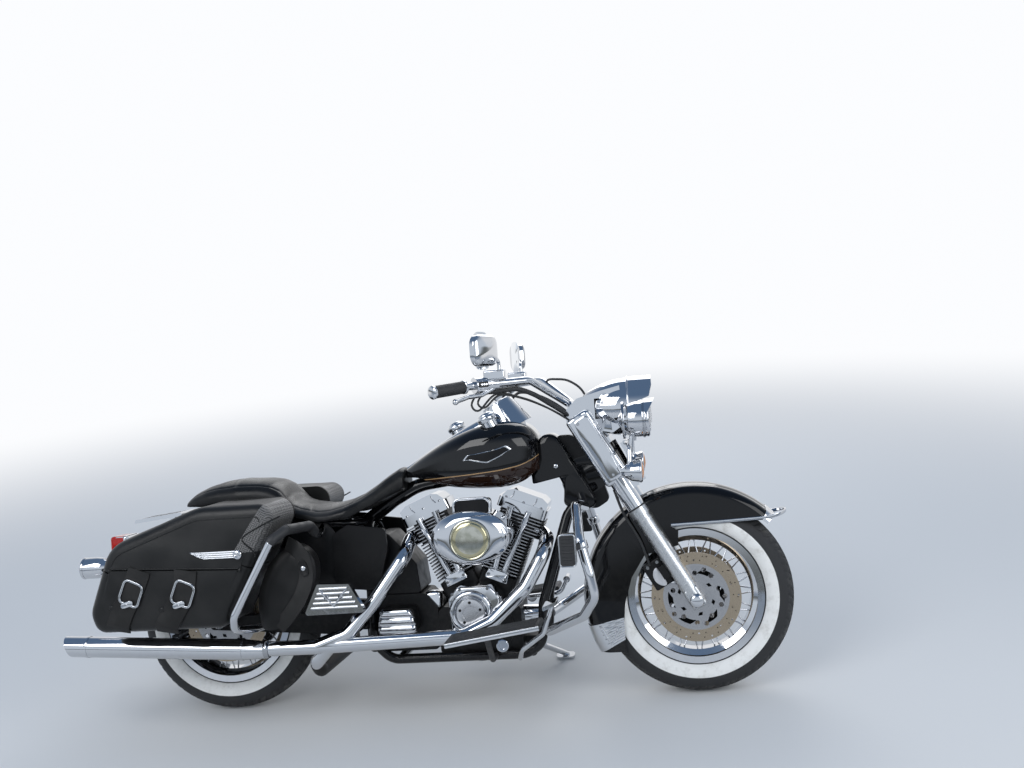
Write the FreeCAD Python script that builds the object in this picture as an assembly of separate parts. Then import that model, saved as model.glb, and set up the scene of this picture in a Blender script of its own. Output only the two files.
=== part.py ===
import FreeCAD, Part
import math
import os

# A touring cruiser motorcycle, parked leaning on its side stand.
# Every piece is drawn upright: X forward, Y to the rider's left, Z up, ground
# at zero, half way between the axles. The whole machine is leaned at the end.

os.makedirs("parts", exist_ok=True)
V = FreeCAD.Vector

# Stance and chassis
WHEELBASE = 1613.0
LEAN_ANGLE = 10.0
RAKE = 26.0
TRAIL = 157.0
FORK_ANGLE = 29.25
FORK_HALF_SPACING = 108.0
BACKBONE_RADIUS = 24.0
CRADLE_RADIUS = 16.0
CRADLE_HALF_WIDTH = 112.0
CRADLE_HEIGHT = 168.0
RAIL_RADIUS = 12.0

# Fits
FIT = 0.3
RUNNING_FIT = 0.06

# Wheels
TYRE_RADIUS = 320.0
TYRE_HALF_WIDTH = 64.0
TYRE_WALL = 12.0
SHOULDER_HALF_WIDTH = 57.0
SHOULDER_DROP = 28.0
BEAD_RADIUS = 204.0
RIM_HALF_WIDTH = 47.0
RIM_FLANGE_HEIGHT = 18.0
RIM_WELL_DEPTH = 19.0
RIM_WALL = 4.0
AXLE_RADIUS = 12.5
HUB_RADIUS = 32.0
HUB_FLANGE_RADIUS = 58.0
HUB_HALF_WIDTH = 40.0
SPOKE_RADIUS = 2.4
SPOKE_PAIRS = 20
DISC_RADIUS = 146.0
DISC_RING_WIDTH = 38.0
DISC_THICKNESS = 5.0
DISC_OFFSET = 66.0
PULLEY_RADIUS = 148.0
BELT_THICKNESS = 5.0
BELT_WIDTH = 24.0
BELT_OFFSET = 83.0

# Front end
TUBE_RADIUS = 20.6
SLIDER_RADIUS = 27.5
COVER_RADIUS = 31.0
COVER_WALL = 2.0
SLIDER_LENGTH = 352.0
STEM_RADIUS = 15.0
HEAD_RADIUS = 27.0
HEAD_LENGTH = 138.0
HEAD_BOTTOM = 796.0
CLAMP_THICKNESS = 26.0
BAR_RADIUS = 12.7
GRIP_RADIUS = 19.5
LAMP_RADIUS = 97.0
LAMP_HEIGHT = 958.0
PASSING_LAMP_RADIUS = 57.0
SIGNAL_RADIUS = 36.0
FENDER_GAP = 50.0
FENDER_HALF_WIDTH = 72.0
FENDER_WALL = 2.5

# Engine
ENGINE_X = 88.0
ENGINE_Z = 258.0
VEE_ANGLE = 45.0
BARREL_RADIUS = 52.0
DECK_HEIGHT = 185.0
HEAD_HEIGHT = 328.0
ROCKER_HEIGHT = 402.0
ROCKER_DEPTH = 70.0
FIN_PITCH = 11.0
FIN_THICKNESS = 3.4
FIN_HALF_LENGTH = 70.0
FIN_HALF_WIDTH = 72.0
HEAD_FIN_HALF_LENGTH = 92.0
HEAD_BLOCK = 64.0
CASE_RADIUS = 112.0
CASE_HALF_WIDTH = 94.0
CASE_REAR = -52.0
CASE_FRONT = 228.0
TIMER_RADIUS = 47.0
PUSHROD_RADIUS = 11.0
GEARBOX_TOP = 380.0
FILTER_RADIUS = 38.0
CLEANER_LENGTH = 252.0
CLEANER_HEIGHT = 171.0
CLEANER_FACE = 290.0
EXHAUST_RADIUS = 22.0
MUFFLER_RADIUS = 34.0
MUFFLER_SPACING = 272.0
MUFFLER_LENGTH = 655.0
MUFFLER_WALL = 2.5

# Bodywork
TANK_HALF_WIDTH = 150.0
TANK_REAR = -139.0
TANK_TUNNEL_GAP = 8.0
DIAL_RADIUS = 48.0
SEAT_HALF_WIDTH = 170.0
REAR_FENDER_RADIUS = 370.0
REAR_FENDER_HALF_WIDTH = 98.0
BAG_INNER = 198.0
BAG_OUTER = 420.0
BAG_WALL = 5.0
BAG_CORNER = 34.0
LID_GAP = 3.0
GUARD_RADIUS = 16.0
BAG_GUARD_RADIUS = 13.0
STAND_RADIUS = 11.0
STAND_HUB = 26.0
STAND_PIN = 6.0

FRONT_X = WHEELBASE / 2
REAR_X = -WHEELBASE / 2
AXLE_Z = TYRE_RADIUS
# Where the fork leg passes the middle of the head lamp
LAMP_X = FRONT_X - (LAMP_HEIGHT - AXLE_Z) * math.tan(FORK_ANGLE * math.pi / 180)


def radians(angle):
    return angle * math.pi / 180


def box(x0, x1, y0, y1, z0, z1, rounding=0):
    block = Part.makeBox(x1 - x0, y1 - y0, z1 - z0, V(x0, y0, z0))
    if rounding:
        block = block.makeFillet(rounding, block.Edges)
    return block


def rod(radius, start, end):
    a = V(*start)
    b = V(*end)
    return Part.makeCylinder(radius, (b - a).Length, a, b - a)


def fuse(shapes):
    return shapes[0].multiFuse(shapes[1:]).removeSplitter()


def flipped(shape):
    return shape.mirror(V(0, 0, 0), V(0, 1, 0))


def pair(shape):
    """A right piece and its left twin, as two solids of one node."""
    return Part.makeCompound([shape, flipped(shape)])


def path(points, bend):
    """Straight runs joined by arcs of the bend radius."""
    corners = [V(*p) for p in points]
    edges = []
    start = corners[0]
    for before, corner, after in zip(corners, corners[1:], corners[2:]):
        back = (before - corner).normalize()
        ahead = (after - corner).normalize()
        angle = back.getAngle(ahead)
        if math.pi - angle < 0.02:
            continue
        room = 0.48 * min((before - corner).Length, (after - corner).Length)
        setback = min(bend / math.tan(angle / 2), room)
        radius = setback * math.tan(angle / 2)
        first = corner + back * setback
        last = corner + ahead * setback
        inward = (back + ahead).normalize()
        centre = corner + inward * (setback / math.cos(angle / 2))
        middle = centre - inward * radius
        if (first - start).Length > 0.01:
            edges.append(Part.LineSegment(start, first).toShape())
        edges.append(Part.Arc(first, middle, last).toShape())
        start = last
    edges.append(Part.LineSegment(start, corners[-1]).toShape())
    return Part.Wire(edges)


def tube(points, radius, bend=60.0, wall=0.0):
    spine = path(points, bend)
    start = V(*points[0])
    along = V(*points[1]) - start
    circle = Part.Wire([Part.makeCircle(radius, start, along)])
    body = spine.makePipeShell([circle], True, False)
    if wall:
        bore = Part.Wire([Part.makeCircle(radius - wall, start, along)])
        body = body.cut(spine.makePipeShell([bore], True, False))
    return body


def outline(points, y):
    """A closed side view of straight lines, on the plane at y."""
    corners = [V(x, y, z) for x, z in points]
    return Part.makePolygon(corners + [corners[0]])


def slab(points, y0, y1):
    """A side view given some thickness across the machine."""
    face = Part.Face(outline(points, y0))
    return face.extrude(V(0, y1 - y0, 0))


def rounded_slab(points, y0, y1, corner, edge=0.0):
    """A side view with rounded corners, and rounded edges if asked."""
    block = slab(points, y0, y1)
    across = [e for e in block.Edges if abs(e.tangentAt(e.FirstParameter).y) > 0.99]
    block = block.makeFillet(corner, across)
    if edge:
        ends = []
        for e in block.Edges:
            box_of = e.BoundBox
            if box_of.YLength < 0.01:
                ends.append(e)
        block = block.makeFillet(edge, ends)
    return block


def turned(profile, centre):
    """A ring or drum about a line across the machine, from (y, radius) corners."""
    corners = [V(centre[0], y, centre[1] + r) for y, r in profile]
    face = Part.Face(Part.makePolygon(corners + [corners[0]]))
    return face.revolve(V(centre[0], 0, centre[1]), V(0, 1, 0), 360)


def section(x, half_width, low, high, corner):
    """A cross section with rounded corners, half_width wide on each side."""
    r = corner
    k = r * (1 - math.sqrt(0.5))
    w = half_width
    p = [V(x, -w + r, low), V(x, w - r, low), V(x, w - k, low + k), V(x, w, low + r)]
    q = [V(x, w, high - r), V(x, w - k, high - k), V(x, w - r, high)]
    edges = [Part.LineSegment(p[0], p[1]).toShape(), Part.Arc(p[1], p[2], p[3]).toShape()]
    edges.append(Part.LineSegment(p[3], q[0]).toShape())
    edges.append(Part.Arc(q[0], q[1], q[2]).toShape())
    m = [V(x, -w + r, high), V(x, -w + k, high - k), V(x, -w, high - r)]
    n = [V(x, -w, low + r), V(x, -w + k, low + k)]
    edges.append(Part.LineSegment(q[2], m[0]).toShape())
    edges.append(Part.Arc(m[0], m[1], m[2]).toShape())
    edges.append(Part.LineSegment(m[2], n[0]).toShape())
    edges.append(Part.Arc(n[0], n[1], p[0]).toShape())
    return Part.Wire(edges)


def loft(rows):
    return Part.makeLoft([section(*row) for row in rows], True, False)


def fork(s, f, y):
    """Up the fork leg from the axle by s, ahead of it by f."""
    a = radians(FORK_ANGLE)
    x = FRONT_X - s * math.sin(a) + f * math.cos(a)
    return V(x, y, AXLE_Z + s * math.cos(a) + f * math.sin(a))


def head(s, f, y):
    """Up the steering axis from the ground by s, ahead of it by f."""
    a = radians(RAKE)
    x = FRONT_X + TRAIL - s * math.sin(a) + f * math.cos(a)
    return V(x, y, s * math.cos(a) + f * math.sin(a))


def leaned_block(place, s0, s1, f0, f1, y0, y1, rounding=0.0):
    """A block whose sides follow the fork or the steering axis."""
    corners = [place(s0, f0, y0), place(s1, f0, y0), place(s1, f1, y0), place(s0, f1, y0)]
    face = Part.Face(Part.makePolygon(corners + [corners[0]]))
    block = face.extrude(V(0, y1 - y0, 0))
    if rounding:
        block = block.makeFillet(rounding, block.Edges)
    return block


def bank(side, s, p, y):
    """Up a cylinder from the crank by s, and away from the vee by p.

    side is 1 for the front cylinder and -1 for the rear one.
    """
    a = radians(VEE_ANGLE / 2)
    x = ENGINE_X + side * (s * math.sin(a) + p * math.cos(a))
    return V(x, y, ENGINE_Z + s * math.cos(a) - p * math.sin(a))


def bank_block(side, s0, s1, p0, p1, y0, y1, rounding=0.0):
    corners = [bank(side, s0, p0, y0), bank(side, s1, p0, y0)]
    corners += [bank(side, s1, p1, y0), bank(side, s0, p1, y0)]
    face = Part.Face(Part.makePolygon(corners + [corners[0]]))
    block = face.extrude(V(0, y1 - y0, 0))
    if rounding:
        up = bank(side, 1, 0, 0) - bank(side, 0, 0, 0)
        posts = [e for e in block.Edges if abs(e.tangentAt(e.FirstParameter).dot(up)) > 0.99]
        block = block.makeFillet(rounding, posts)
    return block


# Wheels


def tyre(x):
    """A tyre ring: round crown, bulged walls, hollow and open to its rim."""
    bead = BEAD_RADIUS + FIT
    wall_foot = RIM_HALF_WIDTH - FIT
    top = TYRE_RADIUS
    shoulder = top - SHOULDER_DROP
    flange_top = BEAD_RADIUS + RIM_FLANGE_HEIGHT
    belly = (shoulder + flange_top) / 2

    def at(y, r):
        return V(x, y, AXLE_Z + r)

    t = TYRE_WALL
    inner_foot = wall_foot - t
    out = [Part.LineSegment(at(wall_foot, bead), at(wall_foot, flange_top + 3)).toShape()]
    out.append(Part.Arc(at(wall_foot, flange_top + 3), at(TYRE_HALF_WIDTH, belly),
                        at(SHOULDER_HALF_WIDTH, shoulder)).toShape())
    out.append(Part.Arc(at(SHOULDER_HALF_WIDTH, shoulder), at(0, top),
                        at(-SHOULDER_HALF_WIDTH, shoulder)).toShape())
    out.append(Part.Arc(at(-SHOULDER_HALF_WIDTH, shoulder), at(-TYRE_HALF_WIDTH, belly),
                        at(-wall_foot, flange_top + 3)).toShape())
    out.append(Part.LineSegment(at(-wall_foot, flange_top + 3), at(-wall_foot, bead)).toShape())
    out.append(Part.LineSegment(at(-wall_foot, bead), at(-inner_foot, bead)).toShape())
    out.append(Part.Arc(at(-inner_foot, bead), at(-TYRE_HALF_WIDTH + t, belly),
                        at(-SHOULDER_HALF_WIDTH + t, shoulder - 2)).toShape())
    out.append(Part.Arc(at(-SHOULDER_HALF_WIDTH + t, shoulder - 2), at(0, top - t),
                        at(SHOULDER_HALF_WIDTH - t, shoulder - 2)).toShape())
    out.append(Part.Arc(at(SHOULDER_HALF_WIDTH - t, shoulder - 2), at(TYRE_HALF_WIDTH - t, belly),
                        at(inner_foot, bead)).toShape())
    out.append(Part.LineSegment(at(inner_foot, bead), at(wall_foot, bead)).toShape())
    face = Part.Face(Part.Wire(out))
    return face.revolve(V(x, 0, AXLE_Z), V(0, 1, 0), 360)


def rim(x):
    """A laced wheel: dropped rim, forty crossed spokes and a flanged hub."""
    w = RIM_HALF_WIDTH
    seat = BEAD_RADIUS
    lip = BEAD_RADIUS + RIM_FLANGE_HEIGHT
    well = BEAD_RADIUS - RIM_WELL_DEPTH
    t = RIM_WALL
    half = [(w + t, seat - t), (w + t, lip), (w, lip), (w, seat), (w - 15, seat), (w - 24, well)]
    mirrored = [(-y, r) for y, r in reversed(half)]
    under = [(-w + 26, well - t), (w - 26, well - t)]
    under = [(-w + 13, seat - t), (-w + 22, well - t), (w - 22, well - t), (w - 13, seat - t)]
    hoop = turned(half + mirrored + under, (x, AXLE_Z))
    h = HUB_HALF_WIDTH
    shell = [(-h, AXLE_RADIUS + RUNNING_FIT), (-h, HUB_FLANGE_RADIUS), (-h + 7, HUB_FLANGE_RADIUS)]
    shell += [(-h + 10, HUB_RADIUS), (h - 10, HUB_RADIUS), (h - 7, HUB_FLANGE_RADIUS)]
    shell += [(h, HUB_FLANGE_RADIUS), (h, AXLE_RADIUS + RUNNING_FIT)]
    pieces = [hoop, turned(shell, (x, AXLE_Z))]
    reach = well - t / 2
    foot = HUB_FLANGE_RADIUS - 4
    for number in range(SPOKE_PAIRS):
        for way in (-1, 1):
            side = 1 if number % 2 else -1
            start = radians(360.0 * number / SPOKE_PAIRS)
            end = start + way * radians(34)
            a = V(x + foot * math.sin(start), side * (h - 3.5), AXLE_Z + foot * math.cos(start))
            b = V(x + reach * math.sin(end), side * 9, AXLE_Z + reach * math.cos(end))
            pieces.append(Part.makeCylinder(SPOKE_RADIUS, (b - a).Length, a, b - a))
    return pieces[0].multiFuse(pieces[1:])


def disc(x, side):
    """A brake disc on its slotted carrier, bolted to the hub's end."""
    y = side * DISC_OFFSET
    t = DISC_THICKNESS / 2
    inner = DISC_RADIUS - DISC_RING_WIDTH
    ring = turned([(y - t, inner), (y - t, DISC_RADIUS), (y + t, DISC_RADIUS), (y + t, inner)],
                  (x, AXLE_Z))
    seat = side * (HUB_HALF_WIDTH)
    bore = AXLE_RADIUS + 6
    carrier = turned([(seat, bore), (seat, HUB_RADIUS + 10), (y - side * t, HUB_RADIUS + 14),
                      (y - side * t, inner + 6), (y + side * t, inner + 6), (y + side * t, bore)],
                     (x, AXLE_Z))
    slots = []
    for number in range(5):
        start = radians(72.0 * number)
        end = start + radians(38)
        middle = (start + end) / 2
        r0 = inner - 30
        a = (x + r0 * math.sin(start), -200, AXLE_Z + r0 * math.cos(start))
        b = (x + (r0 + 6) * math.sin(end), -200, AXLE_Z + (r0 + 6) * math.cos(end))
        c = (x + (r0 + 14) * math.sin(middle), -200, AXLE_Z + (r0 + 14) * math.cos(middle))
        for p in (a, b, c):
            slots.append(rod(8, p, (p[0], 200, p[2])))
    for number in range(20):
        angle = radians(18.0 * number)
        r1 = DISC_RADIUS - (10 if number % 2 else 26)
        p = (x + r1 * math.sin(angle), AXLE_Z + r1 * math.cos(angle))
        slots.append(rod(3.2, (p[0], -200, p[1]), (p[0], 200, p[1])))
    return ring.fuse(carrier).cut(Part.makeCompound(slots))


def pulley():
    """The toothless belt wheel on the left end of the rear hub."""
    y0 = BELT_OFFSET - BELT_WIDTH / 2 - 1
    y1 = BELT_OFFSET + BELT_WIDTH / 2 + 1
    r = PULLEY_RADIUS
    web = BELT_OFFSET
    profile = [(HUB_HALF_WIDTH, AXLE_RADIUS + 6), (HUB_HALF_WIDTH, 50), (web - 4, 56)]
    profile += [(web - 4, r - 14), (y0, r - 12), (y0, r), (y1, r), (y1, r - 12)]
    profile += [(web + 4, r - 14), (web + 4, AXLE_RADIUS + 6)]
    wheel = turned(profile, (REAR_X, AXLE_Z))
    holes = []
    for number in range(5):
        a = radians(72.0 * number)
        hx = REAR_X + 96 * math.sin(a)
        hz = AXLE_Z + 96 * math.cos(a)
        holes.append(rod(26, (hx, 0, hz), (hx, 200, hz)))
    return wheel.cut(Part.makeCompound(holes))


def front_axle():
    y = FORK_HALF_SPACING + SLIDER_RADIUS
    bar = rod(AXLE_RADIUS, (FRONT_X, -y, AXLE_Z), (FRONT_X, y, AXLE_Z))
    cap = rod(AXLE_RADIUS + 6, (FRONT_X, -y - 5, AXLE_Z), (FRONT_X, -y, AXLE_Z))
    nut = rod(AXLE_RADIUS + 4, (FRONT_X, y, AXLE_Z), (FRONT_X, y + 12, AXLE_Z))
    return fuse([bar, cap, nut])


def rear_axle():
    y = SWINGARM_OUTER
    bar = rod(AXLE_RADIUS, (REAR_X, -y - 6, AXLE_Z), (REAR_X, y + 6, AXLE_Z))
    cap = rod(AXLE_RADIUS + 7, (REAR_X, -y - 8, AXLE_Z), (REAR_X, -y - FIT, AXLE_Z))
    nut = rod(AXLE_RADIUS + 7, (REAR_X, y + FIT, AXLE_Z), (REAR_X, y + 14, AXLE_Z))
    return fuse([bar, cap, nut])


# Front end


def fork_sliders():
    """Two lower legs with axle clamps at their feet and fender bosses."""
    legs = []
    y = -FORK_HALF_SPACING
    leg = Part.makeCylinder(SLIDER_RADIUS, SLIDER_LENGTH + 10, fork(-10, 0, y),
                            fork(1, 0, 0) - fork(0, 0, 0))
    foot = leaned_block(fork, -26, 46, -25, 25, y - 24, y + 24, 9)
    boss = rod(8, (fork(226, 8, 0).x, -FENDER_HALF_WIDTH - FIT, fork(226, 8, 0).z),
               (fork(226, 8, 0).x, y, fork(226, 8, 0).z))
    collar = Part.makeCylinder(SLIDER_RADIUS + 4, 26, fork(SLIDER_LENGTH - 28, 0, y),
                               fork(1, 0, 0) - fork(0, 0, 0))
    leg = fuse([leg, foot, boss, collar])
    bore = Part.makeCylinder(TUBE_RADIUS + FIT, SLIDER_LENGTH, fork(150, 0, y),
                             fork(1, 0, 0) - fork(0, 0, 0))
    hole = rod(AXLE_RADIUS + FIT, (FRONT_X, -200, AXLE_Z), (FRONT_X, 200, AXLE_Z))
    leg = leg.cut(bore).cut(hole)
    legs.append(leg)
    return pair(leg)


def leg_offset(s):
    """How far the fork legs lie behind the steering axis, s up that axis."""
    foot_s = TRAIL * math.sin(radians(RAKE)) + AXLE_Z * math.cos(radians(RAKE))
    foot_f = AXLE_Z * math.sin(radians(RAKE)) - TRAIL * math.cos(radians(RAKE))
    return foot_f - (s - foot_s) * math.tan(radians(FORK_ANGLE - RAKE))


def clamps(extra=0.0):
    """The two fork clamps, grown by extra to make room in the covers."""
    up = head(1, 0, 0) - head(0, 0, 0)
    top = HEAD_BOTTOM + HEAD_LENGTH
    parts = []
    for s0, s1, front in ((HEAD_BOTTOM - CLAMP_THICKNESS - 1, HEAD_BOTTOM - 1, 26),
                          (top + 1, top + CLAMP_THICKNESS - 5, 17)):
        y = FORK_HALF_SPACING
        lower = s0 - extra
        upper = s1 + extra
        back = leg_offset(s0)
        plate = leaned_block(head, lower, upper, back - 20 - extra, front + extra, -y, y)
        parts.append(plate)
        for side in (-y, y):
            ear = Part.makeCylinder(COVER_RADIUS - COVER_WALL - FIT - 1 + extra, upper - lower,
                                    head(lower, back, side), up)
            parts.append(ear)
    return parts


def risers(extra=0.0):
    """The two posts that carry the handlebar on the upper clamp."""
    posts = []
    for side in (-1, 1):
        foot = head(HEAD_BOTTOM + HEAD_LENGTH + 10, -26, side * 55)
        posts.append(rod(11 + extra, tuple(foot), (439, side * 55, 977.5)))
    return posts


def fork_tubes():
    """The polished tubes with both clamps and the steering stem."""
    up = fork(1, 0, 0) - fork(0, 0, 0)
    parts = clamps()
    for y in (-FORK_HALF_SPACING, FORK_HALF_SPACING):
        parts.append(Part.makeCylinder(TUBE_RADIUS, 545, fork(155, 0, y), up))
    parts.append(Part.makeCylinder(STEM_RADIUS, HEAD_LENGTH + 2 * CLAMP_THICKNESS - 8,
                                   head(HEAD_BOTTOM - CLAMP_THICKNESS, 0, 0),
                                   head(1, 0, 0) - head(0, 0, 0)))
    tubes = fuse(parts + risers()).cut(tube(BAR_POINTS[3:8], BAR_RADIUS + FIT, 60))
    return max(tubes.Solids, key=lambda solid: solid.Volume)


def curved(points):
    """A smooth edge through points."""
    curve = Part.BSplineCurve()
    curve.interpolate(points)
    return curve.toShape()


def lamp_shell():
    """The bullet behind the lens, an open shell turned about its axis."""
    wall = COVER_WALL
    rows = [(191, 0), (151, 1), (111, 9), (61, 30), (21, 57), (3, 84)]
    outer = []
    inner = []
    for x, drop in rows:
        outer.append(V(LAMP_X + x, 0, LAMP_HEIGHT + LAMP_RADIUS - drop))
        inner.append(V(LAMP_X + x, 0, LAMP_HEIGHT + LAMP_RADIUS - drop - wall))
    edges = [curved(outer), Part.makeLine(outer[-1], inner[-1])]
    edges += [curved(inner), Part.makeLine(inner[0], outer[0])]
    face = Part.Face(Part.Wire(Part.__sortEdges__(edges)))
    return face.revolve(V(0, 0, LAMP_HEIGHT), V(1, 0, 0), 360)


def nacelle_body():
    """The lamp shell and the covers that hide the tops of the fork."""
    wall = COVER_WALL
    parts = [lamp_shell()]
    up = fork(1, 0, 0) - fork(0, 0, 0)
    low = SLIDER_LENGTH + 4
    top = (LAMP_HEIGHT - AXLE_Z) / math.cos(radians(FORK_ANGLE)) - 19
    for side in (-1, 1):
        y = side * FORK_HALF_SPACING
        sleeve = Part.makeCylinder(COVER_RADIUS, top - 6 - low, fork(low, 0, y), up)
        shield = leaned_block(fork, low + 99, top, -42, 44, y - 31, y + 31, 14)
        parts.append(sleeve.fuse(shield))
    body = parts[0].multiFuse(parts[1:])
    for side in (-1, 1):
        y = side * FORK_HALF_SPACING
        bore = Part.makeCylinder(COVER_RADIUS - wall, top - 3 - low, fork(low - 6, 0, y), up)
        body = body.cut(bore)
    inner_y = FORK_HALF_SPACING - 31
    body = body.fuse(cowl(inner_y))
    return body.cut(Part.makeCompound(clamps(FIT))).cut(Part.makeCompound(risers(FIT + 1)))


def cowl(half):
    """The cover that joins both shields behind and round the lamp shell."""
    outside = [(-27, -40), (-23, 4), (13, 38), (91, 58), (157, 72), (163, -58), (126, -82),
               (51, -66)]
    inside = [(-25, -58), (-20, 2), (15, 35), (91, 55), (211, 68), (211, -108), (126, -108),
              (51, -98)]
    outside = [(LAMP_X + x, LAMP_HEIGHT + z) for x, z in outside]
    inside = [(LAMP_X + x, LAMP_HEIGHT + z) for x, z in inside]
    shell = slab(outside, -half - 1, half + 1).cut(slab(inside, -half + 2, half - 2))
    start = V(LAMP_X + 71, 0, LAMP_HEIGHT)
    return shell.cut(Part.makeCylinder(LAMP_RADIUS - 12, 200, start, V(1, 0, 0)))


def headlamp():
    """Lens and bright ring, set in the mouth of the lamp shell."""
    r = LAMP_RADIUS - COVER_WALL - FIT
    mouth = LAMP_X + 191
    rows = [(12, r - 30), (6, r - 8), (0, r), (-24, r), (-24, 0)]
    points = [V(mouth + 14, 0, LAMP_HEIGHT)]
    points += [V(mouth + x, 0, LAMP_HEIGHT + h) for x, h in rows]
    face = Part.Face(Part.makePolygon(points + [points[0]]))
    return face.revolve(V(0, 0, LAMP_HEIGHT), V(1, 0, 0), 360)


def visor():
    """The short peak over the head lamp."""
    r = LAMP_RADIUS + 1.5
    x = LAMP_X
    z = LAMP_HEIGHT
    ring = Part.makeCylinder(r + 3, 78, V(x + 183, 0, z), V(1, 0, 0))
    ring = ring.cut(Part.makeCylinder(r - 2, 90, V(x + 177, 0, z), V(1, 0, 0)))
    low = [(151, -140), (151, 20), (191, 8), (251, 30), (267, 90), (291, 90), (291, -140)]
    return ring.cut(slab([(x + dx, z + dz) for dx, dz in low], -160, 160))


def bullet(x0, x1, y, z, radius, nose):
    """A lamp body: round in front, drawn in behind."""
    rows = [(x0, 0), (x0, nose), (x0 + 14, radius * 0.62), (x0 + 34, radius * 0.9)]
    rows += [(x0 + 56, radius), (x1 - 4, radius), (x1, radius - 4), (x1, 0)]
    points = [V(x, y, z + r) for x, r in rows]
    face = Part.Face(Part.makePolygon(points + [points[0]]))
    return face.revolve(V(0, y, z), V(1, 0, 0), 360)


def auxiliary_lamps():
    """Passing lamps and turn signals on the bright bar under the head lamp."""
    parts = []
    for side in (-1, 1):
        y = side * 200
        parts.append(bullet(598, 690, y, 918, PASSING_LAMP_RADIUS, 12))
        parts.append(bullet(598, 656, side * 222, 755, SIGNAL_RADIUS, 10))
        parts.append(tube([(610, side * 30, 838), (628, side * 120, 836), (628, side * 214, 838),
                           (626, side * 222, 780)], 7.5, 26))
        parts.append(rod(9, (634, y, 832), (640, y, 870)))
    parts.append(rod(9.5, (610, -36, 838), (610, 36, 838)))
    s0 = HEAD_BOTTOM - CLAMP_THICKNESS
    parts.append(leaned_block(head, s0, 914, 34, 50, -34, 34))
    parts.append(leaned_block(head, s0, s0 + 20, 26 + FIT, 35, -34, 34))
    return fuse(parts)


BAR_POINTS = [(58, -440, 1048), (152, -330, 1060), (323, -200, 1068), (353, -160, 1045),
              (437, -62, 979), (452, 0, 968), (437, 62, 979), (353, 160, 1045),
              (323, 200, 1068), (152, 330, 1060), (58, 440, 1048)]


def handlebar():
    return tube(BAR_POINTS, BAR_RADIUS, 60)


def bar_point(side, t, radius=0.0):
    """A point on the outer run of the bar, t from the outer end inwards."""
    a = V(*BAR_POINTS[0])
    b = V(*BAR_POINTS[1])
    p = a + (b - a) * t
    return V(p.x, side * -p.y, p.z)


def grips():
    parts = []
    for side in (-1, 1):
        a = bar_point(side, -0.02)
        b = bar_point(side, 0.84)
        outer = Part.makeCylinder(GRIP_RADIUS, (b - a).Length, a, b - a)
        c = bar_point(side, 0.0)
        bore = Part.makeCylinder(BAR_RADIUS + FIT, (b - a).Length, c, b - a)
        grip = outer.cut(bore)
        parts.append(grip)
    return Part.makeCompound(parts)


def hand_controls():
    """Housings, levers and fluid reservoirs, one set on each side."""
    sets = []
    a = V(*BAR_POINTS[1])
    b = V(*BAR_POINTS[2])
    d = (b - a).normalize()
    start = a + d * 14
    housing = Part.makeCylinder(GRIP_RADIUS + 5, 44, start, d)
    clamp = Part.makeCylinder(GRIP_RADIUS + 2, 34, start + d * 47, d)
    base = start + d * 64
    tank = box(base.x - 22, base.x + 46, base.y - 26, base.y + 26, base.z + 10, base.z + 44, 7)
    lever = tube([(base.x + 6, base.y - 6, base.z - 14), (base.x - 30, base.y - 40, base.z - 34),
                  (150, -372, 1026), (120, -425, 1014)], 7.0, 30)
    tip = Part.makeSphere(9.5, V(120, -425, 1014))
    body = housing.multiFuse([clamp, tank, lever, tip])
    bore = tube(BAR_POINTS[:4], BAR_RADIUS + FIT, 60)
    body = body.cut(bore)
    sets.append(body)
    return pair(body)


def mirrors():
    """Round-cornered mirrors toed in towards the rider, on bent stalks."""
    plate = box(-9, 9, -64, 64, -48, 48)
    long_edges = [e for e in plate.Edges if e.BoundBox.XLength > 10]
    plate = plate.makeFillet(34, long_edges)
    rim_edges = [e for e in plate.Edges if e.BoundBox.XLength < 0.1 and e.BoundBox.XMax > 8]
    plate = plate.makeFillet(6, rim_edges)
    plate.rotate(V(0, 0, 0), V(0, 0, 1), -25)
    plate.translate(V(215, -402, 1165))
    stalk = tube([(240, -278, 1107.3), (240, -278, 1132), (234, -330, 1150), (222, -385, 1152)],
                 6.0, 20)
    return pair(plate.fuse(stalk))


def front_fender():
    """A deep skirted fender, open below and cut away round the fork."""
    r = TYRE_RADIUS + FENDER_GAP + FENDER_WALL
    w = FENDER_HALF_WIDTH
    t = FENDER_WALL

    def drum(radius, half):
        c = 34.0
        k = c * (1 - math.sqrt(0.5))
        x = FRONT_X
        z = AXLE_Z
        low = 0.45 * TYRE_RADIUS
        e = [Part.LineSegment(V(x, -half, z + low), V(x, -half, z + radius - c)).toShape()]
        e.append(Part.Arc(V(x, -half, z + radius - c), V(x, -half + k, z + radius - k),
                          V(x, -half + c, z + radius)).toShape())
        crown = radius + 7
        e.append(Part.Arc(V(x, -half + c, z + radius), V(x, 0, z + crown),
                          V(x, half - c, z + radius)).toShape())
        e.append(Part.Arc(V(x, half - c, z + radius), V(x, half - k, z + radius - k),
                          V(x, half, z + radius - c)).toShape())
        e.append(Part.LineSegment(V(x, half, z + radius - c), V(x, half, z + low)).toShape())
        e.append(Part.LineSegment(V(x, half, z + low), V(x, -half, z + low)).toShape())
        return Part.Face(Part.Wire(e)).revolve(V(x, 0, z), V(0, 1, 0), 360)

    shell = drum(r - 7, w).cut(drum(r - 7 - t, w - t))
    keep = [(425, 150), (425, 740), (1140, 740), (1140, 590), (1100, 572), (1053, 560),
            (745, 553), (764, 540), (760, 492), (649, 466), (601, 394), (573, 309), (565, 239),
            (565, 150)]
    keep = [(x - 806.5 + FRONT_X, z - 320 + AXLE_Z) for x, z in keep]
    return shell.common(slab(keep, -100, 100))


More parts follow.
